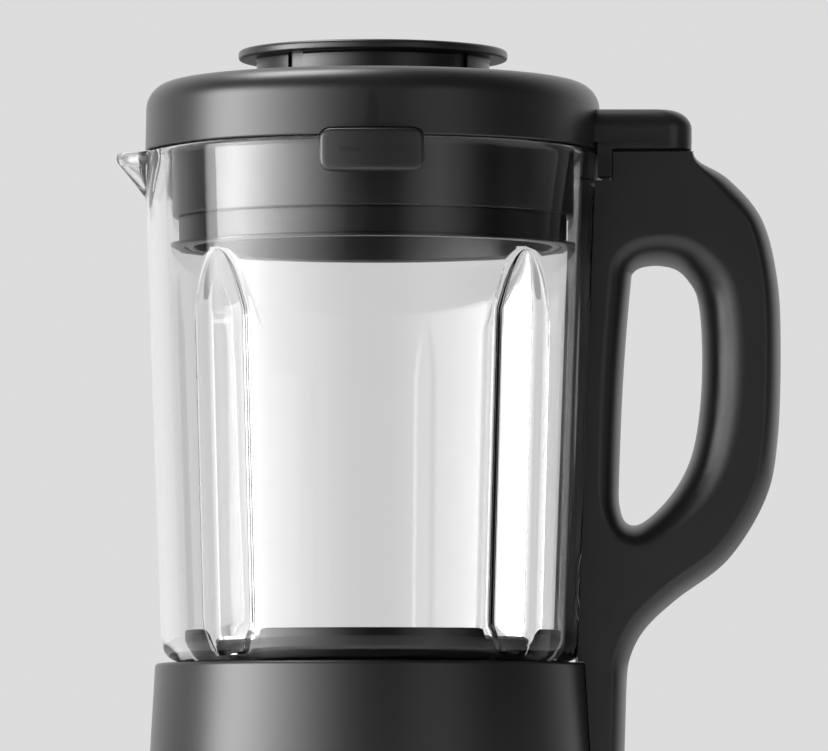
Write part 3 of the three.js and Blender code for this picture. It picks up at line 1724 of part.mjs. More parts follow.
function jugGroup() {
  const upperBearingTop = housingTop - housingWeb - seatGap;
  const lowerBearingTop = housingFoot + bearingHeight + seatGap;
  return assembly(
    collarTop,
    piece("glass_jug", glassJug(), clearGlass),
    piece("handle_front_half", handleHalf(-1), glossPlastic),
    piece("handle_back_half", handleHalf(1), glossPlastic),
    ...placedShares(handleScrewShares).map((place, i) =>
      piece(`handle_screw_${i + 1}`, handleScrew(place), turnedSteel),
    ),
    piece("reed_switch", reedSwitch(), clearGlass),
    piece("heater_bowl", heaterBowl(), sheetSteel),
    piece("bowl_seal", bowlSeal(), darkRubber),
    piece("heating_element", heatingElement(), castAluminium),
    piece("temperature_sensor", temperatureSensor(), turnedSteel),
    piece("bearing_housing", bearingHousing(), castAluminium),
    piece("upper_bearing", bearing(upperBearingTop), turnedSteel),
    piece("lower_bearing", bearing(lowerBearingTop), turnedSteel),
    piece("housing_nut", housingNut(), turnedSteel),
    piece("shaft_seal", shaftSeal(), darkRubber),
    piece("jug_collar", jugCollar(), glossPlastic),
    piece("collar_base_plate", collarBasePlate(), blackPlastic),
    ...collarScrewPlaces().map((place, i) => piece(`collar_screw_${i + 1}`, collarScrew(place), turnedSteel)),
    piece("jug_connector", jugConnector(), blackPlastic),
  );
}

function bladeGroup() {
  return assembly(
    collarTop,
    piece("blade_shaft", bladeShaft(), turnedSteel),
    piece("lower_blade", blade(lowerBladeSeat, lowerBladeReach, lowerBladeRise, 0), sheetSteel),
    piece("upper_blade", blade(upperBladeSeat, upperBladeReach, upperBladeRise, 80), sheetSteel),
    piece("blade_nut", bladeNut(), turnedSteel),
    piece("driven_coupling", drivenCoupling(), blackPlastic),
  );
}

function baseGroup() {
  const feet = [];
  for (let i = 0; i < footCount; i++) feet.push(piece(`foot_${i + 1}`, foot(i), darkRubber));
  return assembly(
    0,
    piece("base_shell", baseShell(), blackPlastic),
    piece("bottom_cover", bottomCover(), blackPlastic),
    piece("seat_ring", seatRing(), darkRubber),
    ...feet,
    piece("motor_stator", motorStator(), copperWinding),
    piece("upper_bracket", upperBracket(), castAluminium),
    piece("lower_bracket", lowerBracket(), castAluminium),
    piece("power_board", powerBoard(), boardGreen),
    piece("control_board", controlBoard(), boardGreen),
    piece("control_panel", controlPanel(), glossPlastic),
    piece("display_window", displayWindow(), darkWindow),
    piece("inlet_socket", inletSocket(), blackPlastic),
    piece("base_connector", baseConnector(), blackPlastic),
    piece("selector_knob", selectorKnob(), blackPlastic),
    piece("start_button", pushButton(buttonColumn), blackPlastic),
    piece("cancel_button", pushButton(-buttonColumn), blackPlastic),
  );
}

function rotorGroup() {
  return assembly(
    0,
    piece("motor_rotor", motorRotor(), turnedSteel),
    piece("cooling_fan", coolingFan(), blackPlastic),
    piece("drive_coupling", driveCoupling(), blackPlastic),
  );
}

const soyMilkMaker = new THREE.Group();
soyMilkMaker.add(baseGroup(), rotorGroup(), jugGroup(), bladeGroup(), lidGroup(), capGroup());

export default soyMilkMaker;
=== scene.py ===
import json
import math

import bmesh
import bpy
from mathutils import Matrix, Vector
from mathutils.geometry import tessellate_polygon


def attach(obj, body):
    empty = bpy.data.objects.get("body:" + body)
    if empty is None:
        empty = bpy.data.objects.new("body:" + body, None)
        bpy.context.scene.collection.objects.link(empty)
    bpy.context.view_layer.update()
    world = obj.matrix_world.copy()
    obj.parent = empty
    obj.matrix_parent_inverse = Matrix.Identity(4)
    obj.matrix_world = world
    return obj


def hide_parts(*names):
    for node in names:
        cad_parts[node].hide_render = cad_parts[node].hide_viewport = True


# Soy milk maker: lidded glass jug on a round motor base.
# Metres in Blender; the numbers below are millimetres. Handle to +X, spout to -X, controls to -Y.
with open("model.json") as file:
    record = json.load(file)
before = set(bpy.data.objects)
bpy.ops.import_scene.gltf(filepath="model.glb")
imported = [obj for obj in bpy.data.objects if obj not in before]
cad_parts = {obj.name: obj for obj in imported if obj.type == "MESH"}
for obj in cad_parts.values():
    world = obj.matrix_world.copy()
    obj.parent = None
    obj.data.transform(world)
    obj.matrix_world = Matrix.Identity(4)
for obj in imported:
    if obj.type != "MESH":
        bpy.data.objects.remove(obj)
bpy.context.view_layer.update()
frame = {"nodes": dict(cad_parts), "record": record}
nodes = frame["nodes"]
mm = 0.001

# levels that most pieces share
baseDeck = 168.0
collarFoot = 169.2
collarTop = 237.2
rimLevel = 417.6
lidTop = 442.1


# Helpers for meshes.
def rounded(points, closed=False, steps=6):
    # points are (x, y) or (x, y, radius); each radius becomes an arc
    result = []
    count = len(points)
    for i, point in enumerate(points):
        radius = point[2] if len(point) > 2 else 0
        here = Vector(point[:2])
        if radius <= 0 or (not closed and i in (0, count - 1)):
            result.append((here.x, here.y))
            continue
        before = (Vector(points[i - 1][:2]) - here).normalized()
        after = (Vector(points[(i + 1) % count][:2]) - here).normalized()
        half = before.angle(after) / 2
        reach = radius / math.tan(half)
        middle = here + (before + after).normalized() * (radius / math.sin(half))
        start = here + before * reach - middle
        end = here + after * reach - middle
        turn = start.angle(end)
        for k in range(steps + 1):
            t = k / steps
            spot = (start * math.sin((1 - t) * turn) + end * math.sin(t * turn)) / math.sin(turn)
            result.append((middle.x + spot.x, middle.y + spot.y))
    return result


def smoothCurve(points, divisions, closed=False):
    # even spline through points of any length
    count = len(points)
    spans = count if closed else count - 1
    result = []
    for k in range(divisions if closed else divisions + 1):
        place = k * spans / divisions
        i = min(int(place), spans - 1)
        t = place - i
        if closed:
            a, b, c, d = (points[(i + j) % count] for j in (-1, 0, 1, 2))
        else:
            a, b, c, d = (points[max(0, min(count - 1, i + j))] for j in (-1, 0, 1, 2))
        result.append(tuple(
            0.5 * (2 * b[n] + (c[n] - a[n]) * t + (2 * a[n] - 5 * b[n] + 4 * c[n] - d[n]) * t * t
                   + (3 * b[n] - a[n] - 3 * c[n] + d[n]) * t ** 3)
            for n in range(len(b))))
    return result


def makePiece(name, points, faces, keepNormals=False, sharpFrom=32):
    mesh = bpy.data.meshes.new(name)
    mesh.from_pydata([(x * mm, y * mm, z * mm) for x, y, z in points], [], faces)
    if not keepNormals:
        work = bmesh.new()
        work.from_mesh(mesh)
        bmesh.ops.recalc_face_normals(work, faces=work.faces)
        work.to_mesh(mesh)
        work.free()
    piece = bpy.data.objects.new(name, mesh)
    bpy.context.scene.collection.objects.link(piece)
    shade(piece, sharpFrom)
    return piece


def shade(piece, sharpFrom=32):
    mesh = piece.data
    mesh.polygons.foreach_set("use_smooth", [True] * len(mesh.polygons))
    mesh.set_sharp_from_angle(angle=math.radians(sharpFrom))
    mesh.update()


def turnedMesh(name, profile, steps=160, moved=None, sharpFrom=32):
    # profile of (radius, height); open where both ends are on the axis, else a closed loop
    onAxis = profile[0][0] == 0 and profile[-1][0] == 0
    points, rows = [], []
    for radius, height in profile:
        if radius == 0:
            points.append((0, 0, height))
            rows.append([len(points) - 1] * steps)
            continue
        row = []
        for i in range(steps):
            turn = 2 * math.pi * i / steps
            spot = (radius * math.cos(turn), radius * math.sin(turn), height)
            points.append(moved(spot, turn) if moved else spot)
            row.append(len(points) - 1)
        rows.append(row)
    pairs = list(zip(rows, rows[1:])) + ([] if onAxis else [(rows[-1], rows[0])])
    faces = []
    for low, high in pairs:
        for i in range(steps):
            j = (i + 1) % steps
            face = [low[i], low[j], high[j], high[i]]
            clean = [v for n, v in enumerate(face) if v != face[n - 1]]
            if len(clean) > 2:
                faces.append(clean)
    return makePiece(name, points, faces, sharpFrom=sharpFrom)


def bandFaces(size, count, start=0):
    # quads between that many rings of size points, which stand one after another from start
    faces = []
    for level in range(count - 1):
        low = start + level * size
        for i in range(size):
            j = (i + 1) % size
            faces.append([low + i, low + j, low + size + j, low + size + i])
    return faces


def loftedMesh(name, rings, sharpFrom=32):
    # a closed skin through rings with as many points each
    size = len(rings[0])
    points = [p for ring in rings for p in ring]
    faces = bandFaces(size, len(rings))
    faces.append(list(range(size))[::-1])
    faces.append([(len(rings) - 1) * size + i for i in range(size)])
    return makePiece(name, points, faces, sharpFrom=sharpFrom)


def softRectangle(halfX, halfZ, corner, inset=0, centre=(0, 0), perSide=14, perCorner=6):
    # points round a rounded rectangle, close enough together to lie on a curved face
    halfX, halfZ = halfX - inset, halfZ - inset
    corner = max(min(corner - inset, halfX * 0.98, halfZ * 0.98), 0.02)
    result = []
    for signX, signZ, start in ((1, -1, -90), (1, 1, 0), (-1, 1, 90), (-1, -1, 180)):
        cx, cz = signX * (halfX - corner), signZ * (halfZ - corner)
        for k in range(perCorner + 1):
            turn = math.radians(start + 90 * k / perCorner)
            result.append((cx + corner * math.cos(turn), cz + corner * math.sin(turn)))
        last = result[-1]
        nextCx = (halfX - corner) * (1 if start in (-90, 180) else -1)
        nextCz = (halfZ - corner) * (1 if start in (-90, 0) else -1)
        turn = math.radians(start + 90)
        ahead = (nextCx + corner * math.cos(turn), nextCz + corner * math.sin(turn))
        for k in range(1, perSide):
            t = k / perSide
            result.append((last[0] + (ahead[0] - last[0]) * t, last[1] + (ahead[1] - last[1]) * t))
    return [(x + centre[0], z + centre[1]) for x, z in result]


def applyModifiers(piece):
    # what the modifiers make becomes the piece's own mesh
    view = bpy.context.evaluated_depsgraph_get()
    view.update()
    mesh = bpy.data.meshes.new_from_object(piece.evaluated_get(view))
    piece.modifiers.clear()
    old = piece.data
    piece.data = mesh
    bpy.data.meshes.remove(old)
    mesh.name = piece.name


def carve(piece, cutters, operation="DIFFERENCE", sharpFrom=32):
    # booleans, applied, and the cutters removed
    for cutter in cutters:
        change = piece.modifiers.new("cut", "BOOLEAN")
        change.operation = operation
        change.solver = "EXACT"
        change.object = cutter
    applyModifiers(piece)
    for cutter in cutters:
        spare = cutter.data
        bpy.data.objects.remove(cutter)
        bpy.data.meshes.remove(spare)
    shade(piece, sharpFrom)
    return piece


def evenNormals(piece):
    # flats keep flat shading right up to their rounded edges
    change = piece.modifiers.new("even", "WEIGHTED_NORMAL")
    change.keep_sharp = True
    applyModifiers(piece)
    return piece


def boxMesh(name, x, y, z):
    corners = [(x[i], y[j], z[k]) for k in (0, 1) for j in (0, 1) for i in (0, 1)]
    faces = [(0, 1, 3, 2), (4, 6, 7, 5), (0, 4, 5, 1), (2, 3, 7, 6), (0, 2, 6, 4), (1, 5, 7, 3)]
    return makePiece(name, corners, faces)


def rodMesh(name, profile, centre, steps=48, sharpFrom=32):
    # turned about a level line along Y through centre (x, z); profile of (radius, y)
    piece = turnedMesh(name, profile, steps, sharpFrom=sharpFrom)
    for vertex in piece.data.vertices:
        x, y, z = vertex.co
        vertex.co = (x + centre[0] * mm, z, y + centre[1] * mm)
    piece.data.flip_normals()
    shade(piece, sharpFrom)
    return piece


def finishPiece(piece, body, slot, material, *stoodFor):
    piece.data.materials.clear()
    piece.data.materials.append(material)
    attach(piece, body)
    if stoodFor:
        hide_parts(*stoodFor)


# Materials.
def toLinear(code):
    parts = [int(code[i:i + 2], 16) / 255 for i in (1, 3, 5)]
    return tuple(c / 12.92 if c <= 0.04045 else ((c + 0.055) / 1.055) ** 2.4 for c in parts) + (1.0,)


def addNode(tree, kind, settings=None, links=None):
    node = tree.nodes.new(kind)
    for key, value in (settings or {}).items():
        if isinstance(key, int) or key in node.inputs:
            node.inputs[key].default_value = value
        else:
            setattr(node, key, value)
    for key, source in (links or {}).items():
        tree.links.new(source, node.inputs[key])
    return node


def startMaterial(name, roughness, metallic=0.0, ior=None, colour=None):
    # one Principled shader on an output, with the object's own metres as coordinates
    material = bpy.data.materials.new(name)
    material.use_nodes = True
    tree = material.node_tree
    tree.nodes.clear()
    shader = addNode(tree, "ShaderNodeBsdfPrincipled", {"Roughness": roughness, "Metallic": metallic})
    if ior:
        shader.inputs["IOR"].default_value = ior
    if colour:
        shader.inputs["Base Color"].default_value = toLinear(colour)
    addNode(tree, "ShaderNodeOutputMaterial", links={"Surface": shader.outputs[0]})
    spot = addNode(tree, "ShaderNodeTexCoord").outputs["Object"]
    return material, tree, shader, spot


def toneAndRelief(tree, shader, look, blend, height):
    # colour mixed from two tones, and a relief of "depth" in millimetres
    tint = addNode(
        tree, "ShaderNodeMix",
        {"data_type": "RGBA", 6: toLinear(look["colour"]), 7: toLinear(look["secondTone"])},
        {"Factor": blend})
    tree.links.new(tint.outputs[2], shader.inputs["Base Color"])
    bump = addNode(
        tree, "ShaderNodeBump", {"Strength": look["bump"], "Distance": look["depth"] * mm},
        {"Height": height})
    tree.links.new(bump.outputs[0], shader.inputs["Normal"])


def perMetre(size):
    # texture scale whose features are about that many millimetres
    return 1000 / size


def mouldedPlastic(name, look):
    # grain of the tool's surface, slow unevenness of the gloss, and edges that hands have polished
    material, tree, shader, spot = startMaterial(name, look["roughness"], ior=look["ior"])
    shader.inputs["Specular IOR Level"].default_value = look["shine"]
    grain = addNode(
        tree, "ShaderNodeTexNoise", {"Scale": perMetre(look["grain"]), "Detail": 3.0}, {"Vector": spot})
    cloud = addNode(
        tree, "ShaderNodeTexNoise", {"Scale": perMetre(look["cloud"]), "Detail": 2.0}, {"Vector": spot})
    toneAndRelief(tree, shader, look, cloud.outputs["Fac"], grain.outputs["Fac"])
    gloss = addNode(
        tree, "ShaderNodeMapRange",
        {"To Min": look["roughness"] - look["uneven"], "To Max": look["roughness"] + look["uneven"]},
        {"Value": cloud.outputs["Fac"]})
    shape = addNode(tree, "ShaderNodeNewGeometry")
    worn = addNode(
        tree, "ShaderNodeMapRange",
        {"From Min": 0.54, "From Max": 0.62, "To Min": 0.0, "To Max": look["wear"]},
        {"Value": shape.outputs["Pointiness"]})
    rough = addNode(
        tree, "ShaderNodeMath", {"operation": "SUBTRACT", "use_clamp": True},
        {0: gloss.outputs[0], 1: worn.outputs[0]})
    tree.links.new(rough.outputs[0], shader.inputs["Roughness"])
    return material


# ABS moulded in a spark-eroded tool: a satin sheen that breaks a lamp into a soft wide band.
# Real grain is about 0.1 mm; drawn at 0.35 mm so that it shows in the render.
sparkErodedAbs = mouldedPlastic("sparkErodedAbs", {
    "shine": 0.95, "colour": "#131314", "secondTone": "#161617", "roughness": 0.36, "uneven": 0.02,
    "ior": 1.54, "grain": 0.35, "cloud": 40, "bump": 0.10, "depth": 0.05, "wear": 0.06})

# Glass-filled nylon, moulded matt: flat black flanks with a faint grey bloom.
# Real grain is about 0.15 mm; drawn at 0.5 mm.
mattMouldedNylon = mouldedPlastic("mattMouldedNylon", {
    "shine": 0.85, "colour": "#141415", "secondTone": "#18181a", "roughness": 0.38, "uneven": 0.03,
    "ior": 1.53, "grain": 0.5, "cloud": 30, "bump": 0.12, "depth": 0.05, "wear": 0.08})

# Polypropylene moulded in a polished tool: dark, with clear streak-like reflections and slight sink marks.
polishedPolypropylene = mouldedPlastic("polishedPolypropylene", {
    "shine": 0.8, "colour": "#19191a", "secondTone": "#1e1e1f", "roughness": 0.3, "uneven": 0.03,
    "ior": 1.49, "grain": 6.0, "cloud": 25, "bump": 0.08, "depth": 0.05, "wear": 0.02})

# Compression-moulded silicone: soft matt black that greys where fine dust clings.
# Real grain is under 0.1 mm; drawn at 0.8 mm.
mouldedSilicone = mouldedPlastic("mouldedSilicone", {
    "shine": 0.4, "colour": "#0f0f0f", "secondTone": "#161616", "roughness": 0.5, "uneven": 0.05,
    "ior": 1.41, "grain": 0.8, "cloud": 9, "bump": 0.05, "depth": 0.05, "wear": 0.0})

# Silicone from a polished tool: as dark, with a damp-looking sheen, for the lip that wipes the glass.
polishedSilicone = mouldedPlastic("polishedSilicone", {
    "shine": 0.9, "colour": "#121212", "secondTone": "#1a1a1a", "roughness": 0.36, "uneven": 0.04,
    "ior": 1.41, "grain": 2.5, "cloud": 14, "bump": 0.03, "depth": 0.05, "wear": 0.0})

# Plain polyamide of inner mouldings: matt, slightly mottled by the glass fibre near its skin.
# Real fibres are about 0.3 mm long; drawn at 0.6 mm.
innerPolyamide = mouldedPlastic("innerPolyamide", {
    "shine": 0.5, "colour": "#1d1d1e", "secondTone": "#262627", "roughness": 0.5, "uneven": 0.05,
    "ior": 1.53, "grain": 0.6, "cloud": 6, "bump": 0.15, "depth": 0.06, "wear": 0.03})


boroLook = {"colour": "#FCFCFC", "ior": 1.474, "wave": 28, "bump": 0.05, "depth": 0.4}


def pressedBorosilicate():
    # Borosilicate glass pressed in a mould: clear, with a faint waviness that bends reflections.
    look = boroLook
    material, tree, shader, spot = startMaterial(
        "pressedBorosilicate", 0.0, ior=look["ior"], colour=look["colour"])
    shader.inputs["Transmission Weight"].default_value = 1.0
    wave = addNode(
        tree, "ShaderNodeTexNoise", {"Scale": perMetre(look["wave"]), "Detail": 1.0}, {"Vector": spot})
    bump = addNode(
        tree, "ShaderNodeBump", {"Strength": look["bump"], "Distance": look["depth"] * mm},
        {"Height": wave.outputs["Fac"]})
    tree.links.new(bump.outputs[0], shader.inputs["Normal"])
    return material


def brushedMetal(name, look):
    # fine lines: rings round the upright axis where look has "turned", else across the stretched direction
    material, tree, shader, spot = startMaterial(name, look["roughness"], 1.0)
    place = spot
    if look.get("turned"):
        split = addNode(tree, "ShaderNodeSeparateXYZ", links={0: spot})
        level = addNode(
            tree, "ShaderNodeCombineXYZ", links={0: split.outputs["X"], 1: split.outputs["Y"]})
        radius = addNode(tree, "ShaderNodeVectorMath", {"operation": "LENGTH"}, {0: level.outputs[0]})
        around = addNode(
            tree, "ShaderNodeCombineXYZ", links={0: radius.outputs["Value"], 1: split.outputs["Z"]})
        place = around.outputs[0]
    lines = addNode(tree, "ShaderNodeMapping", {"Scale": look["stretch"]}, {"Vector": place})
    scratch = addNode(
        tree, "ShaderNodeTexNoise", {"Scale": perMetre(look["line"]), "Detail": 4.0},
        {"Vector": lines.outputs[0]})
    cloud = addNode(
        tree, "ShaderNodeTexNoise", {"Scale": perMetre(look["cloud"]), "Detail": 2.0}, {"Vector": spot})
    toneAndRelief(tree, shader, look, cloud.outputs["Fac"], scratch.outputs["Fac"])
    rough = addNode(
        tree, "ShaderNodeMapRange",
        {"To Min": look["roughness"] - look["uneven"], "To Max": look["roughness"] + look["uneven"]},
        {"Value": scratch.outputs["Fac"]})
    tree.links.new(rough.outputs[0], shader.inputs["Roughness"])
    return material


# Spun 304 stainless: bright, with fine rings left by the spinning tool.
# Real rings are about 0.1 mm apart; drawn at 1.6 mm so that they show.
spunStainless = brushedMetal("spunStainless", {
    "colour": "#C9C9C7", "secondTone": "#B9B9B7", "roughness": 0.26, "uneven": 0.06, "line": 1.6,
    "turned": True, "stretch": (1, 1, 1), "cloud": 25, "bump": 0.12, "depth": 0.03})

# Ground blade steel: straight grinding lines across the blade, duller than the bowl.
# Real lines are about 0.1 mm apart; drawn at about 0.6 mm, 5 mm divided by the nine of stretch.
groundBladeSteel = brushedMetal("groundBladeSteel", {
    "colour": "#BEBEBD", "secondTone": "#A5A5A4", "roughness": 0.3, "uneven": 0.1, "line": 5.0,
    "stretch": (9, 1, 1), "cloud": 8, "bump": 0.2, "depth": 0.03})

# Turned steel of shafts and screws: feed marks round the axis, a little oil-dark.
# Real feed marks are about 0.1 mm apart; drawn at 0.8 mm.
turnedSteel = brushedMetal("turnedSteel", {
    "colour": "#B3B4B5", "secondTone": "#97989A", "roughness": 0.28, "uneven": 0.06, "line": 0.8,
    "turned": True, "stretch": (1, 1, 1), "cloud": 6, "bump": 0.15, "depth": 0.03})

# Die-cast aluminium: pale grey, dull cast skin with a soft mottle.
dieCastAluminium = brushedMetal("dieCastAluminium", {
    "colour": "#C4C6C8", "secondTone": "#A9ABAD", "roughness": 0.48, "uneven": 0.1, "line": 1.2,
    "stretch": (1, 1, 1), "cloud": 5, "bump": 0.35, "depth": 0.03})

# Nickel plate: smooth and bright with barely any structure.
platedNickel = brushedMetal("platedNickel", {
    "colour": "#BDBAB1", "secondTone": "#AFACA4", "roughness": 0.18, "uneven": 0.04, "line": 2.0,
    "stretch": (1, 1, 1), "cloud": 4, "bump": 0.05, "depth": 0.03})


ironLook = {
    "roughness": 0.42, "metallic": 0.9, "colour": "#6B4326", "secondTone": "#8E6A4A", "sheet": 12.6,
    "mottle": 3, "bump": 0.4, "depth": 0.1}


def laminatedIron():
    # Stacked iron sheets with lacquered copper wire round them: dark coppery brown, in level ribs.
    # Real sheets are about 0.5 mm thick; drawn 4 mm apart, as a wave repeats after 0.314 of "sheet".
    look = ironLook
    material, tree, shader, spot = startMaterial("laminatedIron", look["roughness"], look["metallic"])
    sheets = addNode(
        tree, "ShaderNodeTexWave",
        {"wave_type": "BANDS", "bands_direction": "Z", "Scale": perMetre(look["sheet"])}, {"Vector": spot})
    cloud = addNode(
        tree, "ShaderNodeTexNoise", {"Scale": perMetre(look["mottle"]), "Detail": 3.0}, {"Vector": spot})
    toneAndRelief(tree, shader, look, cloud.outputs["Fac"], sheets.outputs["Fac"])
    return material


boardLook = {
    "roughness": 0.35, "ior": 1.55, "resist": "#1B4A2C", "paler": "#1F5533", "track": "#4E8A5C", "pitch": 6,
    "trackWidth": 0.06, "bump": 0.2, "depth": 0.05}


def etchedBoard():
    # Epoxy board under solder resist: green gloss with paler tracks showing through.
    # Real tracks are about 0.5 mm apart; drawn in rows 1.5 mm apart, a quarter of "pitch".
    look = boardLook
    material, tree, shader, spot = startMaterial("etchedBoard", look["roughness"], ior=look["ior"])
    tracks = addNode(tree, "ShaderNodeTexBrick", {
        "Scale": perMetre(look["pitch"]), "Mortar Size": look["trackWidth"],
        "Color1": toLinear(look["resist"]), "Color2": toLinear(look["paler"]),
        "Mortar": toLinear(look["track"])}, {"Vector": spot})
    tree.links.new(tracks.outputs["Color"], shader.inputs["Base Color"])
    bump = addNode(
        tree, "ShaderNodeBump", {"Strength": look["bump"], "Distance": look["depth"] * mm},
        {"Height": tracks.outputs["Fac"]})
    tree.links.new(bump.outputs[0], shader.inputs["Normal"])
    return material


acrylicLook = {
    "colour": "#101113", "roughness": 0.06, "ior": 1.49, "smooth": 0.04, "wiped": 0.12, "stretch": (1, 1, 14),
    "mark": 9}


def smokedAcrylic():
    # Smoked acrylic, moulded clear: near black, mirror-glossy, with hair-fine wipe marks.
    # Real marks are under 0.1 mm wide; drawn at about 0.6 mm, "mark" divided by the 14 of stretch.
    look = acrylicLook
    material, tree, shader, spot = startMaterial(
        "smokedAcrylic", look["roughness"], ior=look["ior"], colour=look["colour"])
    wipes = addNode(tree, "ShaderNodeMapping", {"Scale": look["stretch"]}, {"Vector": spot})
    marks = addNode(
        tree, "ShaderNodeTexNoise", {"Scale": perMetre(look["mark"]), "Detail": 4.0},
        {"Vector": wipes.outputs[0]})
    rough = addNode(
        tree, "ShaderNodeMapRange", {"To Min": look["smooth"], "To Max": look["wiped"]},
        {"Value": marks.outputs["Fac"]})
    tree.links.new(rough.outputs[0], shader.inputs["Roughness"])
    return material


inkLook = {"colour": "#A9ABAC", "thicker": "#C4C6C7", "roughness": 0.6, "ior": 1.5, "spread": 0.8}


def padPrintedInk():
    # Pad-printed ink: flat pale grey, a little thin in places.
    look = inkLook
    material, tree, shader, spot = startMaterial("padPrintedInk", look["roughness"], ior=look["ior"])
    thin = addNode(
        tree, "ShaderNodeTexNoise", {"Scale": perMetre(look["spread"]), "Detail": 2.0}, {"Vector": spot})
    tint = addNode(
        tree, "ShaderNodeMix",
        {"data_type": "RGBA", 6: toLinear(look["colour"]), 7: toLinear(look["thicker"])},
        {"Factor": thin.outputs["Fac"]})
    tree.links.new(tint.outputs[2], shader.inputs["Base Color"])
    return material


clearGlass = pressedBorosilicate()
motorIron = laminatedIron()
circuitBoard = etchedBoard()
smokedWindow = smokedAcrylic()
printedInk = padPrintedInk()

# CAD nodes that stay as they are take the finish of their slot
finishOfSlot = {
    "gloss_black_plastic": sparkErodedAbs,
    "matte_black_plastic": innerPolyamide,
    "black_silicone": mouldedSilicone,
    "clear_glass": clearGlass,
    "stainless_steel": groundBladeSteel,
    "turned_steel": turnedSteel,
    "cast_aluminium": dieCastAluminium,
    "nickel_plate": platedNickel,
    "stator_iron": motorIron,
    "circuit_board": circuitBoard,
    "smoked_window": smokedWindow,
}
for part in frame["record"]["subparts"]:
    kept = nodes[part["node"]]
    for place in kept.material_slots:
        place.material = finishOfSlot[part["material_slot"]]
print("materials made")


# Glass jug.
# ribs stand inside the wall; their angles are in degrees
glassLook = {
    "rimRadius": 80.7, "footRadius": 74.2, "wall": 7.0, "height": 180.2, "rimRound": 1.5, "footRound": 7.0,
    "footLevel": 0.2, "footFlare": 0.26, "shelfEdge": 64.4, "shelfLevel": 3.0, "shelfRound": 3.0,
    "neckInner": 57.0, "neckOuter": 62.0, "neckFoot": -6.0,
    "ribHalfWidth": 12.0, "ribDepth": 4.2, "ribTip": 142.7, "ribArch": 21.0, "ribFoot": 4.0,
    "ribWidens": 8, "ribDeepens": 10, "ribSide": 0.4, "ribCrown": 0.2, "ribAngles": (45, 135, 225, 315),
    "ribZone": 16, "ribOuterHalf": 9.6,
    "spoutReach": 10.2, "spoutDepth": 17.0, "spoutFull": 3.0, "spoutHalfWidth": 19.0, "spoutLip": 3.5,
    "spoutZone": 25,
    "bossRadius": 9.6, "bossSlope": 2.2, "bossReach": 4.5, "bossLevels": (155.2, 25.0), "bossZone": 20}
# heights at which the wall's outer and inner skins have a ring, closer where the skin curves
outerLevels = [
    10, 14, 17, 21, 25, 29, 33, 40, 60, 80, 100, 120, 140, 147, 151, 155.2, 159, 163, 164.5, 166, 168,
    170, 172, 174, 176, 177.5]
innerLevels = [
    177.5, 176, 174, 172, 170, 168, 166, 164.5, 163, 155, 148, 144, 142.65, 142.5, 142.2, 141.7, 141, 140,
    138.7, 137, 135, 132.5, 129.5, 126, 122, 118, 112, 100, 80, 60, 40, 25, 14, 12, 10, 8, 7]


def glassRadius(h):
    share = max(0.0, min(1.0, h / glassLook["height"]))
    return glassLook["footRadius"] + (glassLook["rimRadius"] - glassLook["footRadius"]) * share


def ribHalfAt(h):
    # half width of a rib: pointed arch above, narrowing a little at the foot
    look = glassLook
    top, arch, foot = look["ribTip"], look["ribArch"], look["ribFoot"]
    if h >= top or h <= foot:
        return 0.0
    width = look["ribHalfWidth"]
    if h > top - arch:
        width *= math.sqrt((top - h) / arch)
    if h < foot + look["ribWidens"]:
        width *= 0.5 + 0.5 * (h - foot) / look["ribWidens"]
    return width


def ribDepthAt(h):
    # how far a rib stands in from the wall, less under its arch and towards its foot
    look = glassLook
    top, arch, foot = look["ribTip"], look["ribArch"], look["ribFoot"]
    depth = look["ribDepth"]
    if h > top - arch:
        depth *= max(0.0, (top - h) / arch) ** 0.7
    if h < foot + look["ribDeepens"]:
        depth *= 0.66 + 0.34 * max(0.0, (h - foot) / look["ribDeepens"])
    return depth


def spoutPush(y, h, lip):
    # how far the spout stands out at a distance from its middle and a height
    look = glassLook
    below = look["height"] - h
    rise = max(0.0, min(1.0, (look["spoutDepth"] - below) / (look["spoutDepth"] - look["spoutFull"])))
    half = (look["spoutHalfWidth"] - lip) * (0.35 + 0.65 * rise)
    if rise == 0 or abs(y) >= half:
        return 0.0
    across = math.cos(math.pi / 2 * y / half) ** 1.4
    return (look["spoutReach"] + (look["wall"] - lip if lip else 0)) * rise ** 1.15 * across


def glassProfile():
    # closed section as (radius, height, side): side 1 is the outer wall, -1 the inner one, -2 its lowest
    # rounding and 0 the neck
    look = glassLook
    top, wall, rimRound, footRound = look["height"], look["wall"], look["rimRound"], look["footRound"]
    section = []
    for turn in range(-90, 1, 15):
        a = math.radians(turn)
        flare = look["footFlare"] * (turn + 90) / 90
        section.append((look["footRadius"] - footRound + footRound * math.cos(a) + flare,
                        look["footLevel"] + footRound + footRound * math.sin(a), 1))
    section += [(glassRadius(h), h, 1) for h in outerLevels]
    for first, inwards, side in ((0, 0, 1), (90, wall - 2 * rimRound, -1)):
        for turn in range(first, first + 91, 30):
            a = math.radians(turn)
            section.append((look["rimRadius"] - inwards - rimRound + rimRound * math.cos(a),
                            top - rimRound + rimRound * math.sin(a), side))
    section += [(glassRadius(h) - wall, h, -1) for h in innerLevels]
    bottom = look["shelfLevel"] + look["shelfRound"]
    reach = glassRadius(bottom) - wall - look["shelfEdge"]
    for turn in (0, -30, -60, -90):
        a = math.radians(turn)
        section.append((look["shelfEdge"] + reach * math.cos(a), bottom + look["shelfRound"] * math.sin(a),
                        -2 if turn < 0 else -1))
    section += [
        (look["neckInner"], look["shelfLevel"], 0), (look["neckInner"], look["neckFoot"], 0),
        (look["neckOuter"], look["neckFoot"], 0), (look["neckOuter"], look["footLevel"], 0)]
    return section


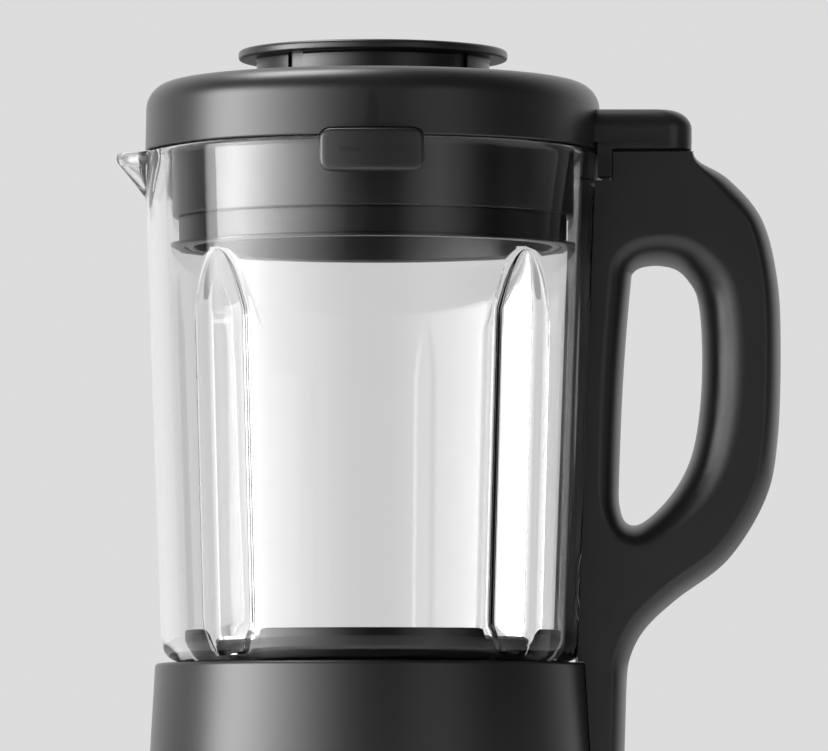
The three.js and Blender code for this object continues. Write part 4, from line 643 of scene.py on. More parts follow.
def glassColumns():
    # (is a rib's, angle, place across the rib) round the jug: closer together at ribs, spout and bosses
    columns = []
    for middle in glassLook["ribAngles"]:
        columns += [(True, middle, n / 20) for n in range(-20, 21)]
        columns += [(True, middle, side * (1 + n / 4)) for side in (-1, 1) for n in range(1, 5)]
    for low, high, step in ((-29, 29, 1.45), (61, 119, 2.9), (151, 209, 1.16), (241, 299, 2.9)):
        count = round((high - low) / step)
        columns += [(False, low + (high - low) * n / count, 0) for n in range(1, count)]
    zone = glassLook["ribZone"]

    def order(column):
        ofRib, middle, t = column
        return (middle + max(-zone, min(zone, t * zone / 2)) if ofRib else middle) % 360

    return sorted(columns, key=order)


def makeGlass():
    look = glassLook
    columns = glassColumns()
    section = glassProfile()
    points = []
    for radius, h, side in section:
        for ofRib, middle, t in columns:
            angle = middle
            push = 0.0
            if ofRib:
                half = look["ribOuterHalf"]
                if side < 0:
                    half = math.degrees(ribHalfAt(h) / (glassRadius(h) - look["wall"]))
                half = max(half, 0.25)
                beyond = half + (look["ribZone"] - half) * (abs(t) - 1)
                angle = middle + t * half if abs(t) <= 1 else middle + math.copysign(beyond, t)
                if side == -1 and abs(t) < 1:
                    rise = min(1.0, (1 - abs(t)) / look["ribSide"])
                    ridge = rise * rise * (3 - 2 * rise) + look["ribCrown"] * (1 - t * t)
                    push = -ribDepthAt(h) * ridge if ribHalfAt(h) > 0 else 0.0
            a = math.radians(angle)
            r = radius + push
            if side in (1, -1) and abs((angle % 360) - 180) < look["spoutZone"]:
                r += spoutPush(r * math.sin(a), h, 0 if side == 1 else look["spoutLip"])
            if side == 1 and (angle < look["bossZone"] or angle > 360 - look["bossZone"]):
                for level in look["bossLevels"]:
                    away = math.hypot(radius * math.sin(a), h - level)
                    share = min(1.0, max(0.0, (look["bossRadius"] - away) / look["bossSlope"]))
                    r += look["bossReach"] * share
            points.append((r * math.cos(a), r * math.sin(a), collarTop + h))
    size, rows = len(columns), len(section)
    faces = []
    for j in range(rows):
        for i in range(size):
            k = (i + 1) % size
            n = (j + 1) % rows
            faces.append([j * size + i, j * size + k, n * size + k, n * size + i])
    return makePiece("glassJug", points, faces, sharpFrom=38)


finishPiece(makeGlass(), "jug", "clear_glass", clearGlass, "glass_jug")
print("glass made")


# Collar under the glass.
collarLook = {
    "footRadius": 80.6, "topRadius": 76.7, "wall": 3.0, "topRound": 1.5, "footRound": 0.8, "mouth": 62.4}


def makeCollar():
    look = collarLook
    profile = rounded([
        (look["footRadius"], collarFoot, look["footRound"]),
        (look["topRadius"], collarTop, look["topRound"]),
        (look["mouth"], collarTop, 0.5),
        (look["mouth"], collarTop - look["wall"], 0.5),
        (look["topRadius"] - look["wall"], collarTop - look["wall"], 1.0),
        (look["footRadius"] - look["wall"], collarFoot, 0.5),
    ], closed=True)
    return turnedMesh("jugCollar", profile, 192)


finishPiece(makeCollar(), "jug", "gloss_black_plastic", sparkErodedAbs)


# Handle, in two half shells.
# the outlines' points are shares of the handle's reach and of the glass's height, and how much of the
# half width the rounding takes there
handleLook = {
    "halfWidth": 20.0, "seam": 0.1, "outerSteps": 132, "gapSteps": 96, "rings": 14, "reach": 63.3,
    "notchEnd": 84.4, "notchFoot": 406.4, "innerEnd": 62.0, "footEnd": 87.6, "thinShare": 0.05,
    "gap": 0.3, "bossHole": 9.0, "bossHoleEnd": 86, "screws": ((103.0, 395.2), (98.0, 270.2)),
    "screwHole": 3.7, "screwFloor": 17.9}
outerShares = [
    [0.507, 0.9985, 0.03], [0.547, 0.9814, 0.14], [0.714, 0.947, 0.335], [0.897, 0.869, 0.335],
    [0.982, 0.751, 0.335], [1, 0.614, 0.335], [0.982, 0.438, 0.335], [0.913, 0.321, 0.335],
    [0.704, 0.203, 0.335], [0.416, 0.125, 0.335], [0.24, 0.0666, 0.335], [0.155, 0.008, 0.335],
    [0.136, -0.0555, 0.3]]
gapShares = [
    [0.161, 0.73, 0.45], [0.186, 0.768, 0.47], [0.29, 0.7795, 0.5], [0.409, 0.773, 0.55],
    [0.485, 0.75, 0.62], [0.539, 0.711, 0.7], [0.561, 0.622, 0.73], [0.553, 0.516, 0.73],
    [0.514, 0.422, 0.7], [0.444, 0.3595, 0.65], [0.336, 0.308, 0.55], [0.218, 0.2735, 0.45],
    [0.139, 0.2745, 0.4], [0.102, 0.305, 0.4], [0.098, 0.36, 0.42], [0.1216, 0.555, 0.44]]


def handleOutlines():
    look = handleLook

    def placed(shares):
        return [(glassLook["rimRadius"] + x * look["reach"], collarTop + z * glassLook["height"], share)
                for x, z, share in shares]

    outer = smoothCurve(placed(outerShares), look["outerSteps"])
    top = outer[0][1]
    near, far, thin = look["innerEnd"], look["footEnd"], look["thinShare"]
    inner = [(near, collarFoot + (top - collarFoot) * n / 20, thin) for n in range(21)]
    outline = [(near + (far - near) * n / 6, collarFoot, thin) for n in range(7)]
    # the rounding keeps its width down the spine and closes in over the last tenth
    x, z, share = outer[-1]
    for n in range(1, 20):
        t = n / 20
        outline.append((far + (x - far) * t, collarFoot + (z - collarFoot) * t,
                        min(share, thin + (share - thin) * t / 0.1)))
    outline += outer[::-1]
    outline += inner[::-1][:-1]
    gap = smoothCurve(placed(gapShares), look["gapSteps"], closed=True)[::-1]
    return outline, gap


def ellipticRings(outline, side, outwards):
    # from the seam out to the flank, each ring moved by its own rounding
    look = handleLook
    count = len(outline)
    half = look["halfWidth"]
    start = math.asin(look["seam"] / half)
    rings = []
    for k in range(look["rings"] + 1):
        turn = start + (math.pi / 2 - start) * k / look["rings"]
        ring = []
        for i, (x, z, share) in enumerate(outline):
            ax, az, _ = outline[i - 1]
            bx, bz, _ = outline[(i + 1) % count]
            long = math.hypot(bx - ax, bz - az) or 1
            move = outwards * share * half * (1 - math.cos(turn))
            ring.append((x - (bz - az) / long * move, side * half * math.sin(turn),
                         z + (bx - ax) / long * move))
        rings.append(ring)
    return rings


def makeHandleHalf(name, side):
    outline, fingerGap = handleOutlines()
    outerRings = ellipticRings(outline, side, 1)
    gapRings = ellipticRings(fingerGap, side, -1)
    points, faces = [], []
    for rings in (outerRings, gapRings):
        faces += bandFaces(len(rings[0]), len(rings), len(points))
        points += [p for ring in rings for p in ring]
    sizeOuter, sizeGap = len(outline), len(fingerGap)
    gapStart = sizeOuter * len(outerRings)
    for level in (0, len(outerRings) - 1):
        lowOuter, lowGap = level * sizeOuter, gapStart + level * sizeGap
        index = [lowOuter + i for i in range(sizeOuter)] + [lowGap + i for i in range(sizeGap)]
        flat = [[Vector((x, z, 0)) for x, y, z in ring[level]] for ring in (outerRings, gapRings)]
        for triangle in tessellate_polygon(flat):
            faces.append([index[i] for i in triangle])
    piece = makePiece(name, points, faces)
    # cut clear of the collar and glass, of the lid's tongue, of the bosses and for the screws
    look = handleLook
    gap = look["gap"]
    rim, narrow = glassLook["rimRadius"] + gap, collarLook["topRadius"] + gap
    envelope = turnedMesh("envelope", [
        (0, 150), (rim, 150), (collarLook["footRadius"] + gap, collarFoot), (narrow, collarTop - 0.6),
        (narrow - 0.4, collarTop + gap), (glassLook["footRadius"] + gap, collarTop + gap),
        (glassLook["footRadius"] + 0.4, collarTop + 4), (rim, rimLevel), (rim, 440), (0, 440)], 144)
    cutters = [envelope, boxMesh("notch", (60, look["notchEnd"]), (-30, 30), (look["notchFoot"], 440))]
    for level in glassLook["bossLevels"]:
        hole, end = look["bossHole"], look["bossHoleEnd"]
        boss = turnedMesh("boss", [(0, 60), (hole, 60), (hole, end), (0, end)], 40)
        for vertex in boss.data.vertices:
            x, y, z = vertex.co
            vertex.co = (z, y, x + (collarTop + level) * mm)
        boss.data.flip_normals()
        cutters.append(boss)
    if side > 0:
        hole, floor = look["screwHole"], look["screwFloor"]
        for centre in look["screws"]:
            profile = [(0, floor), (hole, floor), (hole, 30), (0, 30)]
            cutters.append(rodMesh("screwHole", profile, centre, 32))
    return evenNormals(carve(piece, cutters, sharpFrom=36))


for name, side, node in (
        ("handleFrontHalf", -1, "handle_front_half"), ("handleBackHalf", 1, "handle_back_half")):
    finishPiece(makeHandleHalf(name, side), "jug", "gloss_black_plastic", mattMouldedNylon, node)
print("handle made")


# Lid.
lidLook = {
    "skirtRadius": 80.5, "topRadius": 80.0, "corner": 9.5, "wall": 3.0, "throat": 42.0, "skirtEdge": 0.8,
    "roofWall": 3.4, "roofRound": 6.0, "notchHalf": 18.5, "notchHalfHigh": 10.2, "notchCorner": 4.2,
    "notchLevel": 410.1}
armLook = {
    "start": 66.0, "inside": 79.2, "end": 112.4, "halfWidth": 19.5, "low": 420.0, "high": 432.0,
    "sideCorner": 7.0, "planCorner": 9.0, "lowRound": 0.2}


def armOutline(inset):
    # plan of the arm, its free end rounded, drawn in more there than at its sides
    start = armLook["start"]
    end = armLook["end"] - inset * 1.25
    half = armLook["halfWidth"] - inset * 0.85
    corner = max(armLook["planCorner"] - inset * 0.5, 2)
    result = [(start + (end - corner - start) * n / 6, -half) for n in range(6)]
    for first, cy in ((-90, -(half - corner)), (0, half - corner)):
        for k in range(9):
            turn = math.radians(first + 90 * k / 8)
            result.append((end - corner + corner * math.cos(turn), cy + corner * math.sin(turn)))
    result += [(start + (end - corner - start) * n / 6, half) for n in range(5, -1, -1)]
    return result


def insideMesh(radius, steps):
    # cuts an arm off where the round of the lid begins
    return turnedMesh("inside", [(0, 400), (radius, 400), (radius, 450), (0, 450)], steps)


def makeArm():
    look = armLook
    corner, lowRound = look["sideCorner"], look["lowRound"]
    levels = []
    for k in range(4):
        turn = math.radians(30 * k)
        levels.append((look["low"] + lowRound * (1 - math.cos(math.radians(90 - 30 * k))),
                       lowRound * (1 - math.sin(turn))))
    levels.append((look["high"] - corner, 0.0))
    for k in range(1, 12):
        turn = math.radians(90 * k / 11)
        levels.append((look["high"] - corner + corner * math.sin(turn), corner * (1 - math.cos(turn))))
    rings = [[(x, y, z) for x, y in armOutline(inset)] for z, inset in levels]
    return carve(loftedMesh("arm", rings, sharpFrom=40), [insideMesh(look["inside"], 192)])


def makeLid():
    look = lidLook
    profile = rounded([
        (look["skirtRadius"], rimLevel, look["skirtEdge"]),
        (look["topRadius"], lidTop, look["corner"]),
        (look["throat"], lidTop, 0.8),
        (look["throat"], lidTop - look["wall"], 0.4),
        (look["topRadius"] - look["roofWall"], lidTop - look["wall"], look["roofRound"]),
        (look["skirtRadius"] - look["wall"], rimLevel, 0.6),
    ], closed=True, steps=10)
    lid = turnedMesh("lidCover", profile, 192)
    carve(lid, [makeArm()], "UNION")
    cutters = []
    for side in (-1, 1):
        near, far = sorted((side * 70.0, side * 90.0))
        outline = softRectangle(
            look["notchHalf"], look["notchHalfHigh"], look["notchCorner"], 0, (0, look["notchLevel"]))
        cutters.append(loftedMesh("latchNotch", [[(x, y, z) for x, z in outline] for y in (near, far)]))
    return evenNormals(carve(lid, cutters, sharpFrom=30))


finishPiece(makeLid(), "lid", "gloss_black_plastic", sparkErodedAbs, "lid_cover")


plateLook = {
    "low": 417.6, "high": 419.95, "inset": 0.06, "edge": 0.3, "inside": 81.3,
    "tongueFoot": 407.4, "tongueStart": 78.0, "tongueEnd": 83.8, "tongueHalf": 19.4, "tongueEdge": 0.4}


def makeArmPlate():
    # flat plate under the arm with the tongue that reaches down into the notch of the handle
    look = plateLook
    low, high, inset, edge = look["low"], look["high"], look["inset"], look["edge"]
    rings = [[(x, y, z) for x, y in armOutline(drawnIn)]
             for z, drawnIn in ((low, inset + edge), (low + edge, inset), (high, inset))]
    plate = loftedMesh("lidArmPlate", rings)
    foot, near, half, edge = look["tongueFoot"], look["tongueStart"], look["tongueHalf"], look["tongueEdge"]
    rings = []
    for z, inset in ((foot, edge), (foot + edge, 0.0), (high - 1, 0.0)):
        far = look["tongueEnd"] - inset
        rings.append([(x, y, z) for x, y in (
            (near, -half + inset), (far, -half + inset), (far, half - inset), (near, half - inset))])
    carve(plate, [loftedMesh("tongue", rings)], "UNION")
    return carve(plate, [insideMesh(look["inside"], 144)])


finishPiece(makeArmPlate(), "lid", "matte_black_plastic", mattMouldedNylon, "lid_arm_plate")

# "closed" is the inset at which a flat end has all but closed; the lever's "pivot" is (out, up)
latchLook = {
    "halfWidth": 18.0, "low": 404.9, "high": 419.6, "corner": 3.8, "inner": 81.25, "outer": 84.6, "edge": 1.2,
    "closed": 7.34, "leverHalf": 11, "leverLow": 417.9, "leverHigh": 418.9, "leverEnd": 82.0,
    "postInner": 71.6, "postOuter": 75.4, "pivot": (73.9, 423.6), "knuckle": 2.3}


def makeLatch(name, side):
    look = latchLook
    middle = (look["low"] + look["high"]) / 2
    half = (look["high"] - look["low"]) / 2
    inner, outer, edge, closed = look["inner"], look["outer"], look["edge"], look["closed"]
    levels = [(inner, closed), (inner, 3.0), (inner, 0.5), (inner + 0.4, 0.0), (outer - edge, 0.0)]
    for k in range(1, 5):
        turn = math.radians(90 * k / 4)
        levels.append((outer - edge * (1 - math.sin(turn)), edge * (1 - math.cos(turn))))
    levels += [(outer, 2.4), (outer, 4.0), (outer, 6.0), (outer, closed)]
    rings = []
    for radius, inset in levels:
        ring = []
        for x, z in softRectangle(look["halfWidth"], half, look["corner"], inset, (0, middle)):
            ring.append((x, side * math.sqrt(radius ** 2 - x * x), z))
        rings.append(ring)
    tab = loftedMesh(name, rings, sharpFrom=40)
    wide, foot, thick = look["leverHalf"], look["leverLow"], look["knuckle"]
    out, up = look["pivot"]
    near, end = side * look["postInner"], side * look["leverEnd"]
    lever = boxMesh("lever", (-wide, wide), sorted((end, near)), (foot, look["leverHigh"]))
    post = boxMesh("post", (-wide, wide), sorted((side * look["postOuter"], near)), (foot, up))
    knuckle = rodMesh("knuckle", [(0, -wide), (thick, -wide), (thick, wide), (0, wide)], (0, 0), 32)
    for vertex in knuckle.data.vertices:
        x, y, z = vertex.co
        vertex.co = (y, x + side * out * mm, z + up * mm)
    knuckle.data.flip_normals()
    carve(lever, [post, knuckle], "UNION")
    return carve(tab, [lever], "UNION", sharpFrom=40)


finishPiece(makeLatch("frontLatch", -1), "latch_front", "gloss_black_plastic", sparkErodedAbs, "front_latch")
finishPiece(makeLatch("backLatch", 1), "latch_back", "gloss_black_plastic", sparkErodedAbs, "back_latch")

capLook = {
    "flangeRadius": 47.6, "flangeLow": 450.3, "top": 453.7, "flangeRound": 1.3, "dishEdge": 6, "dishLip": 5.2,
    "dish": 0.5, "neck": 41.2, "neckWall": 3.2, "neckFoot": 424.1,
    "groove": 39.8, "grooveLow": 432.1, "grooveHigh": 434.7,
    "recessWidth": 7.0, "recessDepth": 1.3, "recessLow": 441.0, "firstRecess": 49,
    "slitWidth": 0.6, "slitLow": 443.1, "slitHigh": 449.3}


def makeCap():
    look = capLook
    neck, flange, top, low = look["neck"], look["flangeRadius"], look["top"], look["flangeLow"]
    inner, under = neck - look["neckWall"], top - look["neckWall"]
    dish = (flange - look["dishEdge"], top - look["dish"])
    profile = [(0, dish[1]), dish]
    profile += rounded([
        dish, (flange - look["dishLip"], top, 0.5), (flange, top, look["flangeRound"]),
        (flange, low, 1.0), (neck, low, 0.8), (neck, look["grooveHigh"]),
        (look["groove"], look["grooveHigh"]), (look["groove"], look["grooveLow"]), (neck, look["grooveLow"]),
        (neck, look["neckFoot"], 0.5), (inner, look["neckFoot"]), (inner, under), (0, under)])[1:]
    cap = turnedMesh("ventCap", profile, 192)
    cutters = []
    half = look["recessWidth"] / 2
    for k in range(4):
        # a shallow recess down the neck, and a vent slit along each of its sides
        turn = math.radians(look["firstRecess"] + 90 * k)
        cosine, sine = math.cos(turn), math.sin(turn)
        places = [(neck - look["recessDepth"], -half, half, look["recessLow"], low + 0.01)]
        for near in (-half, half - look["slitWidth"]):
            places.append((inner - 4, near, near + look["slitWidth"], look["slitLow"], look["slitHigh"]))
        for depth, near, far, foot, head in places:
            slot = boxMesh("slot", (depth, neck + 4), (near, far), (foot, head))
            for vertex in slot.data.vertices:
                x, y, z = vertex.co
                vertex.co = (x * cosine - y * sine, x * sine + y * cosine, z)
            cutters.append(slot)
    return evenNormals(carve(cap, cutters, sharpFrom=30))


finishPiece(makeCap(), "cap", "gloss_black_plastic", sparkErodedAbs, "vent_cap")

capRingLook = {"inner": 40.0, "outer": 41.75, "low": 432.3, "high": 434.5, "lip": 0.7, "heel": 0.4}


def flatRing(name, look, steps):
    profile = rounded([
        (look["inner"], look["low"], look["heel"]), (look["outer"], look["low"], look["lip"]),
        (look["outer"], look["high"], look["lip"]), (look["inner"], look["high"], look["heel"])], closed=True)
    return turnedMesh(name, profile, steps)


capRing = flatRing("capSealRing", capRingLook, 144)
finishPiece(capRing, "cap", "black_silicone", mouldedSilicone, "cap_seal_ring")

plugLook = {
    "radius": 71.0, "spigot": 65.8, "wall": 2.5, "shoulder": 393.9, "foot": 383.6, "floor": 396.4,
    "rim": 438.9, "rimOuter": 68.5, "rimInner": 66.0, "slopeFoot": 436.4,
    "throat": 38.0, "throatTop": 422.1, "neckInner": 42.0, "neckOuter": 44.5}


def makePlug():
    look = plugLook
    floor = look["floor"] + look["wall"]
    profile = rounded([
        (look["throat"], look["floor"], 0.8), (look["spigot"] - look["wall"], look["floor"], 1.0),
        (look["spigot"] - look["wall"], look["foot"], 0.6), (look["spigot"], look["foot"], 0.6),
        (look["spigot"], look["shoulder"], 0.4), (look["radius"], look["shoulder"], 0.6),
        (look["radius"], look["slopeFoot"]), (look["rimOuter"], look["rim"]),
        (look["rimInner"], look["rim"]), (look["rimInner"], floor, 0.8),
        (look["neckOuter"], floor, 0.8), (look["neckOuter"], look["rim"]),
        (look["neckInner"], look["rim"], 0.5), (look["neckInner"], look["throatTop"]),
        (look["throat"], look["throatTop"], 0.3),
    ], closed=True)
    return turnedMesh("lidPlug", profile, 192)


finishPiece(makePlug(), "lid", "matte_black_plastic", polishedPolypropylene, "lid_plug")

lidSealLook = {
    "inner": 66.1, "body": 68.3, "lip": 71.5, "low": 383.4, "high": 393.7, "lipThick": 1.0, "lipHeel": 1.4}


def makeLidSeal():
    look = lidSealLook
    low = look["low"]
    profile = rounded([
        (look["inner"], low, 0.3), (look["lip"], low, 0.3), (look["lip"], low + look["lipThick"], 0.3),
        (look["body"], low + look["lipHeel"], 0.3), (look["body"], look["high"], 0.3),
        (look["inner"], look["high"], 0.3),
    ], closed=True)
    return turnedMesh("lidSeal", profile, 192)


finishPiece(makeLidSeal(), "lid", "black_silicone", polishedSilicone, "lid_seal")
print("lid and cap made")


# Bowl at the floor of the jug and its seal.
# "wallDown", "edgeDown" and "floorDown" are how far below the collar's top the sheet is there
bowlLook = {
    "flange": 62.7, "flangeLow": 8.0, "mouth": 55.0, "wallFoot": 50.0, "wallDown": 10, "floorEdge": 44.0,
    "edgeDown": 20, "flat": 19.0, "floorDown": 24, "hole": 12.3, "sheet": 1.2}


def makeBowl():
    look = bowlLook
    t = look["sheet"]
    top = collarTop + look["flangeLow"] + t
    wall, edge, floor = (collarTop - look[down] for down in ("wallDown", "edgeDown", "floorDown"))
    upper = rounded([
        (look["flange"], top), (look["mouth"], top, 1.8), (look["wallFoot"], wall, 3.0),
        (look["floorEdge"], edge, 4.0), (look["flat"], floor + t, 8.0), (look["hole"], floor + t)])
    lower = rounded([
        (look["hole"], floor), (look["flat"], floor, 8.0), (look["floorEdge"] + 0.5, edge - t, 4.0),
        (look["wallFoot"] + t, wall, 3.0), (look["mouth"] + t, top - t, 0.6), (look["flange"], top - t)])
    return turnedMesh("heaterBowl", upper + lower, 176)


finishPiece(makeBowl(), "jug", "stainless_steel", spunStainless, "heater_bowl")

# where a rib comes down: "ribRadius" gives its angle, "beside" and "fade" in degrees widen the notch
sealLook = {
    "inner": 60.0, "outer": 66.3, "low": 3.2, "high": 11.5, "ledge": 7.9, "lipInner": 63.0, "lipFoot": 9.3,
    "lipLeft": 0.05, "ribRadius": 67, "ribLow": 4.6, "beside": 0.8, "fade": 1.5, "wallGap": 7.5}


def makeBowlSeal():
    look = sealLook
    ledge = look["ledge"]

    def besideRibs(spot, turn):
        # notched where the ribs of the glass come down, and its lip cut away there
        x, y, z = spot
        radius = math.hypot(x, y)
        h = z - collarTop
        apart = abs((math.degrees(turn) % 90) - 45)
        half = math.degrees(ribHalfAt(max(h, look["ribLow"])) / look["ribRadius"]) + look["beside"]
        reach = half + look["fade"]
        if apart < half and h > ledge:
            z = collarTop + ledge + (h - ledge) * look["lipLeft"]
        if apart < reach:
            depth = ribDepthAt(h) * math.sqrt(max(0.0, 1 - (apart / reach) ** 2))
            limit = glassRadius(h) - look["wallGap"] - depth
            if radius > limit:
                x, y = x * limit / radius, y * limit / radius
        return (x, y, z)

    low, high = collarTop + look["low"], collarTop + look["high"]
    profile = rounded([
        (look["inner"], low, 0.4), (look["outer"], low, 0.6), (look["outer"], high, 0.8),
        (look["lipInner"], high, 0.8), (look["lipInner"], collarTop + look["lipFoot"]),
        (look["lipInner"], collarTop + ledge), (look["inner"], collarTop + ledge, 0.3),
    ], closed=True)
    return turnedMesh("bowlSeal", profile, 240, moved=besideRibs, sharpFrom=40)


finishPiece(makeBowlSeal(), "jug", "black_silicone", mouldedSilicone, "bowl_seal")
print("jug floor made")


# Motor base.
baseLook = {
    "footRadius": 91.0, "deckRadius": 81.6, "wall": 3.0, "deckRound": 1.5, "footRound": 1.0,
    "hub": 50.0, "hubTop": 179.5, "well": 20.0, "wellFloor": 161.0, "shaftHole": 17.0,
    "inletHalf": 14.3, "inletLow": 20.7, "inletHigh": 43.3}


def baseRadius(z):
    return baseLook["footRadius"] + (baseLook["deckRadius"] - baseLook["footRadius"]) * z / baseDeck


def onBase(x, z, proud):
    # a point on the front of the shell, or proud of it
    return (x, -math.sqrt((baseRadius(z) + proud) ** 2 - x * x), z)


def makeShell():
    look = baseLook
    wall, hub, hubTop, well, wellFloor = (look[key] for key in ("wall", "hub", "hubTop", "well", "wellFloor"))
    profile = rounded([
        (look["footRadius"], 0.0, look["footRound"]), (look["deckRadius"], baseDeck, look["deckRound"]),
        (hub, baseDeck, 0.6), (hub, hubTop, 2.0), (well, hubTop, 1.0), (well, wellFloor, 0.5),
        (look["shaftHole"], wellFloor), (look["shaftHole"], wellFloor - wall),
        (well + wall, wellFloor - wall), (well + wall, hubTop - wall),
        (hub - wall, hubTop - wall), (hub - wall, baseDeck - wall),
        (look["deckRadius"] - wall, baseDeck - wall, 1.0), (look["footRadius"] - wall, 0.0),
    ], closed=True, steps=8)
    shell = turnedMesh("baseShell", profile, 192)
    half = look["inletHalf"]
    inlet = boxMesh("inletOpening", (-half, half), (60, 110), (look["inletLow"], look["inletHigh"]))
    return carve(shell, [inlet])


finishPiece(makeShell(), "base", "gloss_black_plastic", sparkErodedAbs, "base_shell")

seatRingLook = {"inner": 74.0, "outer": 79.6, "low": 168.1, "high": 169.1, "lip": 0.3, "heel": 0.3}
seatRing = flatRing("seatRing", seatRingLook, 160)
finishPiece(seatRing, "base", "black_silicone", mouldedSilicone, "seat_ring")

# "proud" and "back" are how far the plate's two faces stand out from the shell
panelLook = {
    "halfWidth": 40.0, "low": 32.0, "high": 138.0, "corner": 8.0, "edge": 0.8, "proud": 1.0, "back": -0.4}
windowLook = {
    "halfWidth": 22.0, "low": 108.0, "high": 128.0, "corner": 3.0, "edge": 0.3, "proud": 1.15, "back": 0.6}


def curvedPlate(name, look, depthIn=12):
    # rounded plate that follows the base, its edge rounded, closed by rings that shrink to the middle
    middle = (look["low"] + look["high"]) / 2
    half = (look["high"] - look["low"]) / 2
    proud, back, edge = look["proud"], look["back"], look["edge"]
    smallest = min(look["halfWidth"], half)
    levels = [(back, smallest * min(0.999, 1 - n / depthIn)) for n in range(depthIn)]
    levels += [(back, 0.0), (proud - edge, 0.0)]
    for k in range(1, 5):
        turn = math.radians(90 * k / 4)
        levels.append((proud - edge * (1 - math.sin(turn)), edge * (1 - math.cos(turn))))
    levels += [(proud, smallest * min(0.999, n / depthIn)) for n in range(1, depthIn + 1)
               if smallest * n / depthIn > edge * 1.2]
    rings = []
    for lift, inset in levels:
        outline = softRectangle(look["halfWidth"], half, look["corner"], inset, (0, middle), perSide=22)
        rings.append([onBase(x, z, lift) for x, z in outline])
    return loftedMesh(name, rings, sharpFrom=40)


controlPanel = curvedPlate("controlPanel", panelLook)
finishPiece(controlPanel, "base", "gloss_black_plastic", sparkErodedAbs, "control_panel")
displayWindow = curvedPlate("displayWindow", windowLook)
finishPiece(displayWindow, "base", "smoked_window", smokedWindow, "display_window")

# the flutes fade out over "fluteWidth" from the side inwards; the pointer is a cut "pointerDepth" deep, from
# "pointerNear" to "pointerFar" above the knob's middle
knobLook = {
    "radius": 17.0, "level": 82.0, "front": -101.96, "height": 13.0, "edge": 1.6, "heel": 1.2,
    "heelSlope": 1.5, "taper": 0.7, "rim": 4.0, "dishEdge": 5.2, "dish": 0.7,
    "flutes": 30, "fluteDepth": 0.45, "fluteWidth": 2.0,
    "pointerHalf": 1, "pointerDepth": 1.4, "pointerNear": 7, "pointerFar": 15.5}


def makeKnob():
    look = knobLook
    front, level, r = look["front"], look["level"], look["radius"]
    back, start = front + look["height"], r - look["fluteWidth"]
    profile = rounded([
        (0, back), (r - look["heel"], back, 0.5), (r, back - look["heelSlope"], 0.8),
        (r - look["taper"], front, look["edge"]), (r - look["rim"], front, 1.5),
        (r - look["dishEdge"], front + look["dish"], 1.5), (0, front + look["dish"])], steps=5)
    knob = rodMesh("selectorKnob", profile, (0, level), 180, sharpFrom=40)
    for vertex in knob.data.vertices:
        dx, y, z = vertex.co / mm
        dz = z - level
        radius = math.hypot(dx, dz)
        if radius > start:
            share = (radius - start) / look["fluteWidth"]
            wave = 0.5 - 0.5 * math.cos(look["flutes"] * math.atan2(dz, dx))
            shrink = 1 - look["fluteDepth"] * wave * share / radius
            vertex.co = Vector((dx * shrink, y, level + dz * shrink)) * mm
    half = look["pointerHalf"]
    pointer = boxMesh("pointer", (-half, half), (front - 3, front + look["pointerDepth"]),
                      (level + look["pointerNear"], level + look["pointerFar"]))
    return carve(knob, [pointer], sharpFrom=36)


finishPiece(makeKnob(), "knob", "matte_black_plastic", mattMouldedNylon, "selector_knob")

buttonLook = {"radius": 6.9, "level": 48.0, "column": 17.0, "proud": 2.6, "depth": 7, "rim": 2.4, "dish": 0.5}


def makeButton(name, x):
    look = buttonLook
    surface = math.sqrt((baseRadius(look["level"]) + panelLook["proud"]) ** 2 - x * x)
    front = -(surface + look["proud"])
    back, r = front + look["depth"], look["radius"]
    profile = rounded([
        (0, back), (r, back, 0.3), (r, front, 1.0), (r - look["rim"], front, 2.5), (0, front + look["dish"])])
    return rodMesh(name, profile, (x, look["level"]), 72, sharpFrom=40)


for name, x, body, node in (
        ("startButton", buttonLook["column"], "button_start", "start_button"),
        ("cancelButton", -buttonLook["column"], "button_cancel", "cancel_button")):
    finishPiece(makeButton(name, x), body, "matte_black_plastic", mattMouldedNylon, node)

# "triangle" and "square" are (x, z) on the panel, over the buttons
printLook = {
    "lift": 0.02, "thick": 0.06, "ring": 21.0, "marks": 7, "sweep": 270, "markLength": 2.2, "markWidth": 0.7,
    "firstMark": 1.7, "triangle": ((15.4, 57.2), (18.9, 59.0), (15.4, 60.8)),
    "square": ((-18.5, 57.5), (-15.5, 57.5), (-15.5, 60.5), (-18.5, 60.5))}


def printedShape(name, outline):
    # a closed outline in (x, z), laid on the panel as a thin film of ink
    rings = []
    for lift in (printLook["lift"], printLook["lift"] + printLook["thick"]):
        rings.append([onBase(x, z, panelLook["proud"] + lift) for x, z in outline])
    return loftedMesh(name, rings, sharpFrom=60)


def barOutline(x0, z0, x1, z1, width, steps=6):
    # a straight mark that wide, with enough points to bend with the panel
    long = math.hypot(x1 - x0, z1 - z0)
    sideX, sideZ = -(z1 - z0) / long * width / 2, (x1 - x0) / long * width / 2
    there = [(x0 + (x1 - x0) * n / steps, z0 + (z1 - z0) * n / steps) for n in range(steps + 1)]
    return [(x - sideX, z - sideZ) for x, z in there] + [(x + sideX, z + sideZ) for x, z in reversed(there)]


def makePrint():
    # marks that the knob's pointer passes from 12 o'clock round to 9, and the signs over the buttons
    look, level = printLook, knobLook["level"]
    outlines = []
    for n in range(look["marks"]):
        turn = math.radians(90 - look["sweep"] * n / (look["marks"] - 1))
        near = look["ring"]
        far = near + look["markLength"] * (look["firstMark"] if n == 0 else 1)
        outlines.append(barOutline(
            near * math.cos(turn), level + near * math.sin(turn),
            far * math.cos(turn), level + far * math.sin(turn), look["markWidth"]))
    outlines += [look["triangle"], look["square"]]
    film = printedShape("panelPrint", outlines[0])
    carve(film, [printedShape("mark", outline) for outline in outlines[1:]], "UNION", sharpFrom=60)
    return film


finishPiece(makePrint(), "base", None, printedInk)

